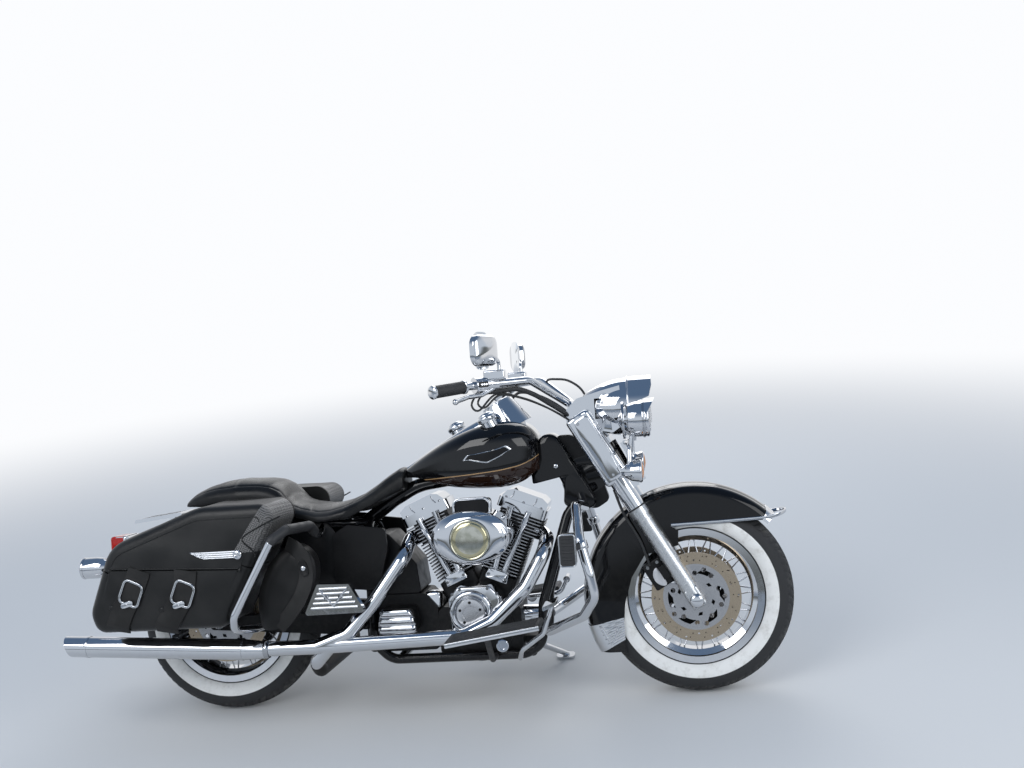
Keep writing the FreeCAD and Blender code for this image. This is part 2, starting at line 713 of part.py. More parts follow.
def front_calipers():
    parts = []
    for side in (-1, 1):
        y = side * DISC_OFFSET
        body = leaned_block(fork, 84, 178, -96, -SLIDER_RADIUS - 1, y - 20, y + 20, 6)
        outer = sorted((side * (FORK_HALF_SPACING + 8), y))
        lug = leaned_block(fork, 108, 152, -52, -SLIDER_RADIUS - FIT, outer[0], outer[1])
        slot = turned([(y - 4.5, 60), (y - 4.5, DISC_RADIUS + 4), (y + 4.5, DISC_RADIUS + 4),
                       (y + 4.5, 60)], (FRONT_X, AXLE_Z))
        parts.append(body.fuse(lug).cut(slot))
    return Part.makeCompound(parts)


# Frame and rear end

SWINGARM_OUTER = 130.0
SWINGARM_INNER = 102.0
PIVOT_X = -340.0
PIVOT_Z = 300.0
UPRIGHT_X = -272.0
BACKBONE = [(578, 0, 783), (300, 0, 771), (60, 0, 758), (-110, 0, 738), (-200, 0, 690),
            (-300, 0, 622)]


def seat_rail(radius):
    b = REAR_FENDER_HALF_WIDTH + RAIL_RADIUS + FIT
    return tube([(-276, -40, 624), (-330, -b, 632), (-560, -b, 648), (-640, -b, 668),
                 (REAR_X + 100, -b, 670)], radius, 60)


def seat_bar(extra=0.0):
    """The cross bar that carries the pillion part of the saddle."""
    b = REAR_FENDER_HALF_WIDTH + RAIL_RADIUS + FIT
    return rod(9 + extra, (-585, -b - 9 - extra, 690), (-585, b + 9 + extra, 690))


def frame():
    """Head tube, backbone, twin cradle loops, seat rails and bag rails."""
    up = head(1, 0, 0) - head(0, 0, 0)
    neck = Part.makeCylinder(HEAD_RADIUS, HEAD_LENGTH, head(HEAD_BOTTOM, 0, 0), up)
    gusset = slab([(575, 830), (598, 734), (470, 664), (420, 690), (420, 790)], -22, 22)
    parts = [neck, gusset, tube(BACKBONE, BACKBONE_RADIUS, 200)]
    r = CRADLE_RADIUS
    w = CRADLE_HALF_WIDTH
    z = CRADLE_HEIGHT
    x = UPRIGHT_X
    loop = tube([(500, -12, 700), (455, -30, 680), (400, -46, 610), (306, -w, 330),
                 (296, -w, z + 30), (236, -w, z), (x + 56, -w, z), (x, -w, z + 56),
                 (x, -w, 540), (x - 6, -56, 620), (x - 10, 0, 632)], r, 70)
    b = REAR_FENDER_HALF_WIDTH + RAIL_RADIUS + FIT
    rail = seat_rail(RAIL_RADIUS)
    s = BAG_INNER - 8 - FIT
    bag_rail = tube([(-600, -b, 656), (-650, -s, 610), (REAR_X - 230, -s, 556),
                     (REAR_X - 290, -130, 522),
                     (REAR_X - 290, -REAR_FENDER_HALF_WIDTH - FIT, 522)], 8, 40)
    hanger = box(REAR_X - 106, REAR_X - 82, -BAG_INNER + FIT, -BAG_INNER + 6, 310, 572)
    hanger_foot = box(REAR_X - 106, REAR_X - 82, -MUFFLER_SPACING, -BAG_INNER + 6,
                      muffler_top(REAR_X - 106) + FIT, muffler_top(REAR_X - 106) + 8)
    post = box(-592, -578, -b - 7, -b + 7, 656, 690)
    inner = SWINGARM_INNER - FIT
    pivot_plate = rounded_slab([(PIVOT_X - 26, PIVOT_Z - 30), (PIVOT_X - 26, PIVOT_Z + 30),
                                (x + 10, PIVOT_Z + 30), (x + 10, PIVOT_Z - 30)],
                               -inner, -inner + 5, 12)
    shock_x = REAR_X + 196
    shock_plate = box(shock_x - 14, shock_x + 14, -b - 8, -b + 2, AXLE_Z + 248, 662)
    shock_pin = rod(9, (shock_x, -b - 2, AXLE_Z + 262),
                    (shock_x, -SWINGARM_OUTER - 12 + FIT, AXLE_Z + 262))
    for piece in (loop, rail, bag_rail, hanger, hanger_foot, post, pivot_plate, shock_plate,
                  shock_pin):
        parts.append(piece)
        parts.append(flipped(piece))
    parts.append(seat_bar())
    lug = BACKBONE_RADIUS + TANK_TUNNEL_GAP - FIT
    parts.append(rod(8, (250, -lug, 780), (250, lug, 780)))
    parts.append(rod(r - 2, (x, -w, 420), (x, w, 420)))
    parts.append(rod(r - 2, (-190, -w, z), (-190, w, z)))
    parts.append(rod(r - 2, (262, -w, z + 6), (262, w, z + 6)))
    bore = Part.makeCylinder(STEM_RADIUS + RUNNING_FIT, HEAD_LENGTH + 60,
                             head(HEAD_BOTTOM - 30, 0, 0), up)
    pivot = rod(12 + FIT, (PIVOT_X, -200, PIVOT_Z), (PIVOT_X, 200, PIVOT_Z))
    return fuse(parts).cut(bore).cut(pivot)


def swingarm():
    parts = []
    arm = [(PIVOT_X + 34, PIVOT_Z + 30), (PIVOT_X - 60, PIVOT_Z + 36), (REAR_X - 26, AXLE_Z + 22),
           (REAR_X - 34, AXLE_Z - 22), (PIVOT_X - 60, PIVOT_Z - 36), (PIVOT_X + 34, PIVOT_Z - 30)]
    for side in (-1, 1):
        y = sorted((side * SWINGARM_INNER, side * SWINGARM_OUTER))
        parts.append(rounded_slab(arm, y[0], y[1], 12))
    inner = SWINGARM_INNER + 4
    parts.append(box(PIVOT_X - 126, PIVOT_X - 88, -inner, inner, PIVOT_Z - 24, PIVOT_Z + 24))
    body = parts[0].multiFuse(parts[1:])
    pivot = rod(12, (PIVOT_X, -SWINGARM_OUTER - 4, PIVOT_Z), (PIVOT_X, SWINGARM_OUTER + 4, PIVOT_Z))
    body = body.fuse(pivot)
    hole = rod(AXLE_RADIUS + FIT, (REAR_X, -200, AXLE_Z), (REAR_X, 200, AXLE_Z))
    return body.cut(hole)


def rear_shocks():
    low = V(REAR_X + 52, -SWINGARM_OUTER - 24, AXLE_Z + 14)
    top = V(REAR_X + 196, -SWINGARM_OUTER - 24, AXLE_Z + 262)
    d = (top - low).normalize()
    body = Part.makeCylinder(21, 150, low + d * 22, d)
    can = Part.makeCylinder(26, 96, low + d * 172, d)
    lower = rod(15, (low.x, low.y - 14, low.z), (low.x, -SWINGARM_OUTER - FIT, low.z))
    upper = rod(13, (top.x, top.y - 12, top.z), (top.x, top.y + 12, top.z))
    eye = Part.makeCylinder(11, 24, low, d)
    neck = Part.makeCylinder(11, 28, top - d * 28, d)
    return pair(fuse([body, can, lower, upper, eye, neck]))


def rear_drum(radius, half):
    """A round-shouldered drum about the rear fender's centre."""
    cx = REAR_X - 53
    cz = AXLE_Z + 4
    c = 46.0
    k = c * (1 - math.sqrt(0.5))
    e = [Part.LineSegment(V(cx, -half, cz + 120), V(cx, -half, cz + radius - c)).toShape()]
    e.append(Part.Arc(V(cx, -half, cz + radius - c), V(cx, -half + k, cz + radius - k),
                      V(cx, -half + c, cz + radius)).toShape())
    e.append(Part.Arc(V(cx, -half + c, cz + radius), V(cx, 0, cz + radius + 6),
                      V(cx, half - c, cz + radius)).toShape())
    e.append(Part.Arc(V(cx, half - c, cz + radius), V(cx, half - k, cz + radius - k),
                      V(cx, half, cz + radius - c)).toShape())
    e.append(Part.LineSegment(V(cx, half, cz + radius - c), V(cx, half, cz + 120)).toShape())
    e.append(Part.LineSegment(V(cx, half, cz + 120), V(cx, -half, cz + 120)).toShape())
    return Part.Face(Part.Wire(e)).revolve(V(cx, 0, cz), V(0, 1, 0), 360)


def rear_fender():
    """A wide fender over the rear wheel, open below."""
    r = REAR_FENDER_RADIUS - 6
    w = REAR_FENDER_HALF_WIDTH
    t = FENDER_WALL
    shell = rear_drum(r, w).cut(rear_drum(r - t, w - t))
    keep = [(REAR_X + 280, 560), (REAR_X + 280, 740), (REAR_X - 450, 740), (REAR_X - 450, 400),
            (REAR_X - 380, 400), (REAR_X - 260, 520), (REAR_X + 120, 520), (REAR_X + 200, 560)]
    return shell.common(slab(keep, -120, 120))


def rear_lamps():
    """Tail lamp, and turn signals on a short bar behind the fender."""
    lamp = rounded_slab([(-1148, 572), (-1156, 624), (-1206, 624), (-1222, 572)], -44, 44, 9)
    stem = slab([(-1080, 580), (-1080, 606), (-1156, 614), (-1156, 580)], -30, 30)
    parts = [lamp, stem]
    for side in (-1, 1):
        shape = bullet(-62, 38, 0, 0, SIGNAL_RADIUS, 12)
        shape.rotate(V(0, 0, 0), V(0, 0, 1), 180)
        shape.translate(V(-1212, side * 176, 537))
        parts.append(shape)
    parts.append(rod(8, (-1196, -176, 537), (-1196, 176, 537)))
    parts.append(box(-1204, -1186, -26, 26, 527, 600))
    return fuse(parts).cut(rear_drum(REAR_FENDER_RADIUS - 6 + FIT, REAR_FENDER_HALF_WIDTH))


def luggage_rack():
    """A flat bright rack plate on two feet behind the pillion."""
    plate = rounded_slab([(-1126, 668), (-1118, 681), (-950, 699), (-942, 687)], -62, 62, 5)
    slots = [box(-1100, -970, y - 7, y + 7, 640, 720) for y in (-36, -12, 12, 36)]
    plate = plate.cut(Part.makeCompound(slots))
    feet = [box(-1006, -986, y - 5, y + 5, 640, 686) for y in (-24, 24)]
    rack = plate.multiFuse(feet)
    return rack.cut(rear_drum(REAR_FENDER_RADIUS - 6 + FIT, REAR_FENDER_HALF_WIDTH))


# Engine


def crankcase():
    w = CASE_HALF_WIDTH
    c = (ENGINE_X, ENGINE_Z)
    parts = [turned([(-w, 0), (-w, CASE_RADIUS), (w, CASE_RADIUS), (w, 0)], c)]
    parts.append(rounded_slab([(CASE_REAR, 166), (CASE_REAR, 330), (CASE_FRONT, 330),
                               (CASE_FRONT, 166)],
                              -w + 4, w - 4, 24))
    top = CRADLE_HEIGHT + 6 + CRADLE_RADIUS - 2
    parts.append(box(200, 278, -36, 36, top + FIT, top + 22, 4))
    for side in (-1, 1):
        deck = FIN_HALF_WIDTH + 5 - FIT
        parts.append(bank_block(side, 60, DECK_HEIGHT, -62, 66, -deck, deck, 14))
    return fuse(parts)


def cylinders():
    """Two finned barrels and heads at the vee angle, fins and all in one."""
    parts = []
    for side in (-1, 1):
        up = bank(side, 1, 0, 0) - bank(side, 0, 0, 0)
        start = bank(side, DECK_HEIGHT, 0, 0)
        one = [Part.makeCylinder(BARREL_RADIUS, HEAD_HEIGHT - DECK_HEIGHT, start, up)]
        one.append(bank_block(side, HEAD_HEIGHT - 1, ROCKER_HEIGHT, -HEAD_BLOCK, HEAD_BLOCK,
                              -60, 60, 10))
        s = DECK_HEIGHT + FIN_PITCH * 0.8
        while s < ROCKER_HEIGHT - FIN_THICKNESS - 4:
            in_head = s > HEAD_HEIGHT
            half = HEAD_FIN_HALF_LENGTH if in_head else FIN_HALF_LENGTH
            inner = 66 if in_head else FIN_HALF_LENGTH
            one.append(bank_block(side, s, s + FIN_THICKNESS, -inner, half, -FIN_HALF_WIDTH,
                                  FIN_HALF_WIDTH, 16))
            s += FIN_PITCH
        bank_form = one[0].multiFuse(one[1:])
        for pipe in header_runs(EXHAUST_RADIUS + 2 + FIT):
            bank_form = bank_form.cut(pipe)
        parts.append(max(bank_form.Solids, key=lambda solid: solid.Volume))
    return Part.makeCompound(parts)


def rocker_boxes():
    parts = []
    for side in (-1, 1):
        s0 = ROCKER_HEIGHT + FIT
        s1 = ROCKER_HEIGHT + ROCKER_DEPTH
        y = FIN_HALF_WIDTH
        base = bank_block(side, s0, s0 + 34, -82, 90, -y, y, 16)
        corners = [bank(side, s0 + 33, -76, -y + 6), bank(side, s1 - 10, -60, -y + 6)]
        corners += [bank(side, s1, -40, -y + 6), bank(side, s1, 60, -y + 6)]
        corners += [bank(side, s1 - 12, 84, -y + 6), bank(side, s0 + 33, 84, -y + 6)]
        face = Part.Face(Part.makePolygon(corners + [corners[0]]))
        cap = face.extrude(V(0, 2 * y - 12, 0))
        across = [e for e in cap.Edges if e.BoundBox.YLength > 20]
        cap = cap.makeFillet(5, across)
        parts.append(base.fuse(cap))
    return Part.makeCompound(parts)


def pushrod_tubes():
    """Four bright tubes on lifter blocks, on the right of the barrels."""
    parts = []
    y = -FIN_HALF_WIDTH - PUSHROD_RADIUS - 3
    for side in (-1, 1):
        block = bank_block(side, DECK_HEIGHT - 15, DECK_HEIGHT + 20, -34, 34, y - 16, y + 9, 6)
        group = [block]
        for p in (-18, 18):
            a = bank(side, DECK_HEIGHT + 10, p * 0.9, y)
            b = bank(side, ROCKER_HEIGHT + 12, p * 1.7, y)
            group.append(Part.makeCylinder(PUSHROD_RADIUS, (b - a).Length, a, b - a))
            c = b + (a - b) * 0.5
            group.append(Part.makeCylinder(PUSHROD_RADIUS + 3, 12, c, b - a))
        parts.append(fuse(group))
    return Part.makeCompound(parts)


def gearcase_cover():
    y = -CASE_HALF_WIDTH - FIT
    points = [(8, 262), (2, 372), (34, 410), (142, 410), (176, 372), (176, 292), (150, 236),
              (40, 232)]
    cover = rounded_slab(points, -186, y, 22)
    rim_edges = [e for e in cover.Edges if e.BoundBox.YLength < 0.1 and e.BoundBox.YMin < -185]
    cover = cover.makeFillet(9, rim_edges)
    timer = rod(TIMER_RADIUS, (77, -185, 327), (77, -198, 327))
    return Part.makeCompound([cover.fuse(timer), oil_filter()])


def oil_filter():
    """The bright filter screwed to the front of the crankcase."""
    canister = rod(FILTER_RADIUS, (CASE_FRONT + FIT, -8, 272), (CASE_FRONT + 78, -8, 272))
    end = [e for e in canister.Edges if e.BoundBox.XMin > CASE_FRONT + 70]
    return canister.makeFillet(9, end)


def air_cleaner():
    """An oval cover on a back plate, joined to the vee by its intake."""
    cx = 105
    cz = 578
    a = CLEANER_LENGTH / 2
    b = CLEANER_HEIGHT / 2
    y1 = -CLEANER_FACE + 160
    ring = Part.Ellipse(V(cx, y1, cz), a, b)
    ring = Part.Wire([Part.Ellipse(V(0, 0, 0), a, b).toShape()])
    face = Part.Face(ring)
    face.rotate(V(0, 0, 0), V(1, 0, 0), 90)
    face.translate(V(cx, y1, cz))
    body = face.extrude(V(0, -150, 0))
    rim_edges = [e for e in body.Edges if e.BoundBox.YMax < y1 - 100 and e.BoundBox.YLength < 1]
    body = body.makeFillet(22, rim_edges)
    insert = rod(62, (cx + 3, y1 - 148, cz - 3), (cx + 3, -CLEANER_FACE, cz - 3))
    neck = rod(24, (ENGINE_X, y1 - 1, 566), (ENGINE_X, -20, 600))
    manifold = rod(19, (ENGINE_X - 120, -20, 600), (ENGINE_X + 120, -20, 600))
    intake = fuse([body, insert, neck, manifold])
    for side in (-1, 1):
        split = HEAD_HEIGHT + FIN_THICKNESS
        head_room = bank_block(side, split, ROCKER_HEIGHT, -66 - FIT, 150, -100, 100)
        barrel_room = bank_block(side, 150, split, -FIN_HALF_LENGTH - FIT, 150, -100, 100)
        intake = intake.cut(head_room).cut(barrel_room)
    return intake


def primary_cover():
    """The long bright case on the left, from crank to clutch."""
    y = CASE_HALF_WIDTH + 8
    points = [(-236, 224), (-236, 322), (-190, 350), (150, 356), (212, 320), (220, 232),
              (170, 190), (-160, 190)]
    cover = rounded_slab(points, y, 200, 34)
    rim_edges = [e for e in cover.Edges if e.BoundBox.YLength < 0.1 and e.BoundBox.YMax > 199]
    cover = cover.makeFillet(16, rim_edges)
    derby = rod(58, (-150, 198, 268), (-150, 210, 268))
    boss = rod(70, (ENGINE_X, CASE_HALF_WIDTH + FIT, ENGINE_Z), (ENGINE_X, y + 4, ENGINE_Z))
    return cover.multiFuse([derby, boss])


def gearbox():
    front = CASE_REAR - FIT
    points = [(-300, 190), (-300, GEARBOX_TOP), (-92, GEARBOX_TOP), (front, 332), (front, 190)]
    body = rounded_slab(points, -90, 68, 20)
    side = rounded_slab([(-245, 262), (-236, 345), (-122, 345), (-112, 262)], -160, -89, 14)
    sprocket = rod(66, (-236, 67, 282), (-236, 96, 282))
    foot = box(-206, -174, -46, 40, CRADLE_HEIGHT + CRADLE_RADIUS - 2 + FIT, 200, 3)
    return fuse([body, side, sprocket, foot])


def drive_belt():
    """The belt from the gearbox to the rear wheel, one fixed loop."""
    y0 = BELT_OFFSET - BELT_WIDTH / 2
    y1 = BELT_OFFSET + BELT_WIDTH / 2
    a = (REAR_X, AXLE_Z, PULLEY_RADIUS + 0.5)
    b = (-236, 282, 66.5)

    def band(extra):
        ra = a[2] + extra
        rb = b[2] + extra
        span = math.hypot(b[0] - a[0], b[1] - a[1])
        tilt = math.atan2(b[1] - a[1], b[0] - a[0])
        lean = math.acos((ra - rb) / span)
        points = []
        edges = []
        corners = []
        for centre, r, angle in ((a, ra, tilt + lean), (b, rb, tilt + lean),
                                 (b, rb, tilt - lean), (a, ra, tilt - lean)):
            corners.append(V(centre[0] + r * math.cos(angle), y0, centre[1] + r * math.sin(angle)))
        far_b = V(b[0] + rb * math.cos(tilt), y0, b[1] + rb * math.sin(tilt))
        far_a = V(a[0] - ra * math.cos(tilt), y0, a[1] - ra * math.sin(tilt))
        edges = [Part.LineSegment(corners[0], corners[1]).toShape()]
        edges.append(Part.Arc(corners[1], far_b, corners[2]).toShape())
        edges.append(Part.LineSegment(corners[2], corners[3]).toShape())
        edges.append(Part.Arc(corners[3], far_a, corners[0]).toShape())
        return Part.Face(Part.Wire(edges)).extrude(V(0, y1 - y0, 0))

    return band(BELT_THICKNESS).cut(band(0))


def header_runs(r):
    """The two header runs from their ports to the right-hand muffler."""
    y = -MUFFLER_SPACING
    port = HEAD_HEIGHT + 36
    start = tuple(bank(1, port, HEAD_BLOCK + FIT, -34))
    out = tuple(bank(1, port - 4, HEAD_BLOCK + 50, -60))
    front = tube([start, out, (326, -165, 505), (262, -196, 400), (150, -222, 300),
                  (60, -240, 262), (-430, y, 256), (-640, y, 256)], r, 60)
    start = tuple(bank(-1, port, HEAD_BLOCK + FIT, -34))
    out = tuple(bank(-1, port + 2, HEAD_BLOCK + 26, -76))
    rear = tube([start, out, (-132, -196, 520), (-230, -230, 390), (-320, -262, 290),
                 (-420, y, 257)], r, 50)
    return [front, rear]


def header_pipes():
    """Both headers, the right-hand run and the crossover to the left."""
    r = EXHAUST_RADIUS + 2
    y = -MUFFLER_SPACING
    cross = tube([(-380, y + 4, 256), (-436, -240, 200), (-440, -190, 162), (-440, 180, 160),
                  (-444, 236, 190), (-520, -y, 256), (-640, -y, 256)], r, 50)
    return fuse(header_runs(r) + [cross])


def muffler_top(x):
    """Height of the muffler's upper side at x."""
    return 256 + (-640 - x) * math.tan(radians(3.3)) + MUFFLER_RADIUS


def mufflers():
    """Slender mufflers, slash cut and open behind."""
    x0 = -640.0
    rise = radians(3.3)
    x1 = x0 - MUFFLER_LENGTH
    y = -MUFFLER_SPACING
    z0 = 256
    d = V(-math.cos(rise), 0, math.sin(rise))
    start = V(x0, y, z0)
    n = MUFFLER_LENGTH + 20
    r = MUFFLER_RADIUS
    cone = Part.makeCone(EXHAUST_RADIUS + 4, r, 90, start - d * 60, d)
    body = cone.fuse(Part.makeCylinder(r, n - 30, start + d * 30, d))
    hollow = Part.makeCylinder(r - MUFFLER_WALL, 260, start + d * (n - 250), d)
    seat = Part.makeCylinder(EXHAUST_RADIUS + 2 + FIT, 70, start - d * 70, d)
    body = body.cut(hollow)
    pipe = rod(EXHAUST_RADIUS + 2 + FIT, (x0 + 200, y, z0), (x0 - 1, y, z0))
    body = body.cut(pipe)
    slash = slab([(x1 - 60, z0 + 90), (x1 + 6, z0 + 90), (x1 + 44, z0 - 30), (x1 - 60, z0 - 30)],
                 y - 60, y + 60)
    return pair(body.cut(slash))


# Bodywork


def fuel_tank_form():
    w = TANK_HALF_WIDTH
    rows = [(TANK_REAR, 44, 750, 796, 18), (-60, 92, 742, 846, 42), (60, 136, 724, 905, 62),
            (180, w, 718, 936, 76), (270, w - 22, 730, 928, 76), (322, w - 70, 762, 880, 50)]
    return loft(rows)


def fuel_tank():
    """A teardrop tank, tunnelled underneath for the backbone and the heads."""
    body = fuel_tank_form()
    tunnel = section(-260, 84, 640, 768, 20)
    tunnel = Part.Face(tunnel).extrude(V(700, 0, 0))
    spine = section(-260, BACKBONE_RADIUS + TANK_TUNNEL_GAP, 700, 812, 20)
    spine = Part.Face(spine).extrude(V(700, 0, 0))
    return body.cut(tunnel).cut(spine)


def tank_console():
    """The bright spine along the tank with its speedometer pod and caps."""
    ridge = loft([(TANK_REAR, 24, 770, 804, 12), (-50, 34, 790, 858, 26), (45, 40, 840, 911, 30),
                  (130, 46, 870, 952, 34), (190, 52, 880, 975, 36)])
    down = V(0.45, 0, -0.89)
    rim = V(184, 0, 997)
    pod = Part.makeCone(DIAL_RADIUS + 6, DIAL_RADIUS + 32, 100, rim, down)
    dial = Part.makeCylinder(DIAL_RADIUS, 12, rim - down * 6, down)
    body = ridge.fuse(pod).cut(dial)
    caps = []
    for y, x, z in ((-90, 178, 910), (90, 40, 880)):
        caps.append(Part.makeCylinder(26, 52, V(x, y, z), V(-0.42, 0.12 * y / 90, 0.9)))
    solid = fuel_tank_form()
    pieces = []
    for piece in [body] + caps:
        rest = piece.cut(solid)
        pieces.append(max(rest.Solids, key=lambda one: one.Volume))
    return Part.makeCompound(pieces)


def seat():
    """A two-up saddle: dished rider's part and a raised pillion."""
    w = SEAT_HALF_WIDTH
    nose = TANK_REAR - FIT
    rider = [(nose, 70, 728, 800, 20), (-160, 84, 716, 806, 28), (-240, 128, 680, 752, 28),
             (-340, w, 640, 706, 24), (-430, w, 640, 692, 24), (-530, w - 24, 650, 702, 22)]
    pillion = [(-500, 128, 672, 712, 18), (-560, 132, 690, 766, 34), (-620, 134, 700, 793, 40),
               (-720, 130, 704, 799, 40), (-830, 118, 708, 782, 34), (-912, 92, 716, 748, 14)]
    saddle = loft(rider).fuse(loft(pillion))
    spine = tube(BACKBONE, BACKBONE_RADIUS + 6, 200)
    pan = box(-570, -262, -w + 34, w - 34, 560, 666)
    return saddle.cut(spine).cut(pan).cut(seat_bar(FIT))


def side_covers():
    points = [(-226, 440), (-196, 540), (-200, 612), (-330, 630), (-382, 600), (-382, 420),
              (-260, 410)]
    cover = rounded_slab(points, -152, -140, 14)
    inner = -CRADLE_HALF_WIDTH - CRADLE_RADIUS - FIT
    studs = [rod(7, (UPRIGHT_X, -141, z), (UPRIGHT_X, inner, z)) for z in (440, 520)]
    right = fuse([cover] + studs)
    return Part.makeCompound([right, flipped(right), battery_case()])


def battery_case():
    """The black case under the saddle's nose, standing on the gearbox."""
    low = GEARBOX_TOP + FIT
    side = [(-256, low), (-256, 585), (-206, 585), (-116, 480), (-106, low)]
    return rounded_slab(side, -88, 88, 12, 4)


# Corners of the bag's side view, each with the radius that rounds it
BAG_OUTLINE = [(-1124, 420, 70), (-1100, 355, 45), (-668, 355, 45), (-455, 742, 50),
               (-740, 742, 160), (-1045, 632, 110)]


def closed_wire(corners, y):
    """A closed side view of straight lines with an arc at each corner."""
    count = len(corners)
    edges = []
    ends = []
    for number in range(count):
        before = V(corners[number - 1][0], y, corners[number - 1][1])
        corner = V(corners[number][0], y, corners[number][1])
        after = V(corners[(number + 1) % count][0], y, corners[(number + 1) % count][1])
        back = (before - corner).normalize()
        ahead = (after - corner).normalize()
        half = back.getAngle(ahead) / 2
        room = 0.48 * min((before - corner).Length, (after - corner).Length)
        setback = min(corners[number][2] / math.tan(half), room)
        radius = setback * math.tan(half)
        centre = corner + (back + ahead).normalize() * (setback / math.cos(half))
        middle = centre - (back + ahead).normalize() * radius
        first = corner + back * setback
        last = corner + ahead * setback
        edges.append(Part.Arc(first, middle, last).toShape())
        ends.append((first, last))
    for number in range(count):
        start = ends[number][1]
        stop = ends[(number + 1) % count][0]
        if (stop - start).Length > 0.01:
            edges.append(Part.LineSegment(start, stop).toShape())
    return Part.Wire(Part.__sortEdges__(edges))


def bag_form(inset):
    """The whole bag, lid and all, drawn in by inset."""
    face = Part.Face(closed_wire(BAG_OUTLINE, -BAG_OUTER + inset))
    if inset:
        wire = face.makeOffset2D(-inset, 0, False, False)
        face = Part.Face(wire.Wires[0])
    depth = BAG_OUTER - BAG_INNER - 2 * inset
    block = face.extrude(V(0, depth, 0))
    rim_edges = []
    for e in block.Edges:
        b = e.BoundBox
        if b.YLength < 0.01 and b.YMax < -BAG_OUTER + inset + 0.1:
            rim_edges.append(e)
    return block.makeFillet(BAG_CORNER - inset, rim_edges)


def bag_parts():
    """The open body with its tall back panel, and the lid that hooks on it."""
    shell = bag_form(0).cut(bag_form(BAG_WALL))
    over = slab([(-1160, 900), (-1160, 563), (-400, 530), (-400, 900)], -500, -100)
    back = -BAG_INNER - BAG_WALL
    lid_zone = slab([(-1160, 900), (-1160, 563 + LID_GAP), (-400, 530 + LID_GAP), (-400, 900)],
                    -500, back - 0.6)
    lid = shell.common(lid_zone)
    panel = bag_form(0).common(box(-1200, -400, back, -BAG_INNER, 300, 900))
    body = shell.cut(over).fuse(panel).removeSplitter()
    return body, lid


def bag_guards():
    r = BAG_GUARD_RADIUS
    guard = tube([(-420, -142, 619), (-420, -182, 602), (-424, -250, 646), (-458, -390, 652),
                  (-492, -432, 626), (-629, -432, 394), (-640, -405, 350), (-610, -300, 330),
                  (-560, -SWINGARM_OUTER - 20, 330)], r, 34)
    b = REAR_FENDER_HALF_WIDTH + RAIL_RADIUS + FIT
    stud = rod(9, (-420, -b, 638), (-420, -148, 616))
    guard = guard.fuse(stud).cut(seat_rail(RAIL_RADIUS + FIT))
    return pair(max(guard.Solids, key=lambda solid: solid.Volume))


def guard_pouches():
    points = [(-436, 602), (-388, 524), (-438, 394), (-504, 338), (-566, 334), (-578, 440),
              (-524, 562)]
    pouch = rounded_slab(points, -352, -302, 16)
    strap = box(-452, -432, -345, -310, 560, 635.6)
    return pair(pouch.fuse(strap))


def guard_tube(radius):
    seat_y = CRADLE_HALF_WIDTH + CRADLE_RADIUS + FIT
    front = 462
    half = [(front, -60, 636), (444, -200, 658), (458, -330, 562), (484, -350, 458),
            (494, -345, 388), (453, -300, 322), (330, -200, 258), (303, -seat_y - 12, 250),
            (303, -seat_y, 250)]
    left = [(x, -y, z) for x, y, z in half]
    return tube(list(reversed(half)) + left, radius, 44)


def engine_guard():
    """One bent tube across the front of the frame, with a loop at each side."""
    return guard_tube(GUARD_RADIUS)


def highway_pegs():
    pad = rounded_slab([(403, 496), (403, 593), (452, 593), (452, 496)], -430, -384, 10)
    arm = rod(11, (432, -390, 545), (462, -333, 545))
    peg = pad.fuse(arm).cut(guard_tube(GUARD_RADIUS + FIT))
    return pair(max(peg.Solids, key=lambda solid: solid.Volume))


def rider_boards():
    board = rounded_slab([(22, 262), (22, 276), (318, 318), (326, 304)], -392, -272, 4)
    seat_y = CRADLE_HALF_WIDTH + CRADLE_RADIUS + FIT
    x = 138
    arm = tube([(x, -300, 288), (x, -264, 246), (x, -190, CRADLE_HEIGHT + 4),
                (x, -seat_y, CRADLE_HEIGHT)], 10, 20)
    return pair(board.fuse(arm))


def passenger_boards():
    board = rounded_slab([(-429, 373), (-381, 470), (-277, 466), (-229, 375)], -352, -328, 8)
    seat_y = CRADLE_HALF_WIDTH + CRADLE_RADIUS + FIT
    arm = tube([(-330, -334, 385), (-350, -300, 384), (-330, -176, 352),
                (UPRIGHT_X, -152, 350), (UPRIGHT_X, -seat_y, 350)], 9, 12)
    return pair(board.fuse(arm))


def foot_controls():
    """Brake pedal on the right, heel and toe shifter on the left."""
    seat_y = CRADLE_HALF_WIDTH + CRADLE_RADIUS + FIT
    brake = tube([(226, -seat_y, CRADLE_HEIGHT), (226, -176, CRADLE_HEIGHT), (240, -226, 206),
                  (316, -256, 262), (352, -262, 356)], 8, 24)
    pad = rounded_slab([(330, 350), (328, 362), (372, 378), (376, 368)], -345, -252, 3)
    shifter = tube([(355, 250, 345), (330, 240, 300), (180, 236, 290), (20, 240, 320),
                    (-12, 256, 352)], 8, 30)
    toe = rod(12, (355, 246, 345), (355, 310, 345))
    heel = rod(12, (-12, 250, 352), (-12, 310, 352))
    post = rod(9, (180, 200 + FIT, 290), (180, 236, 290))
    return Part.makeCompound([brake.fuse(pad), fuse([shifter, toe, heel, post])])


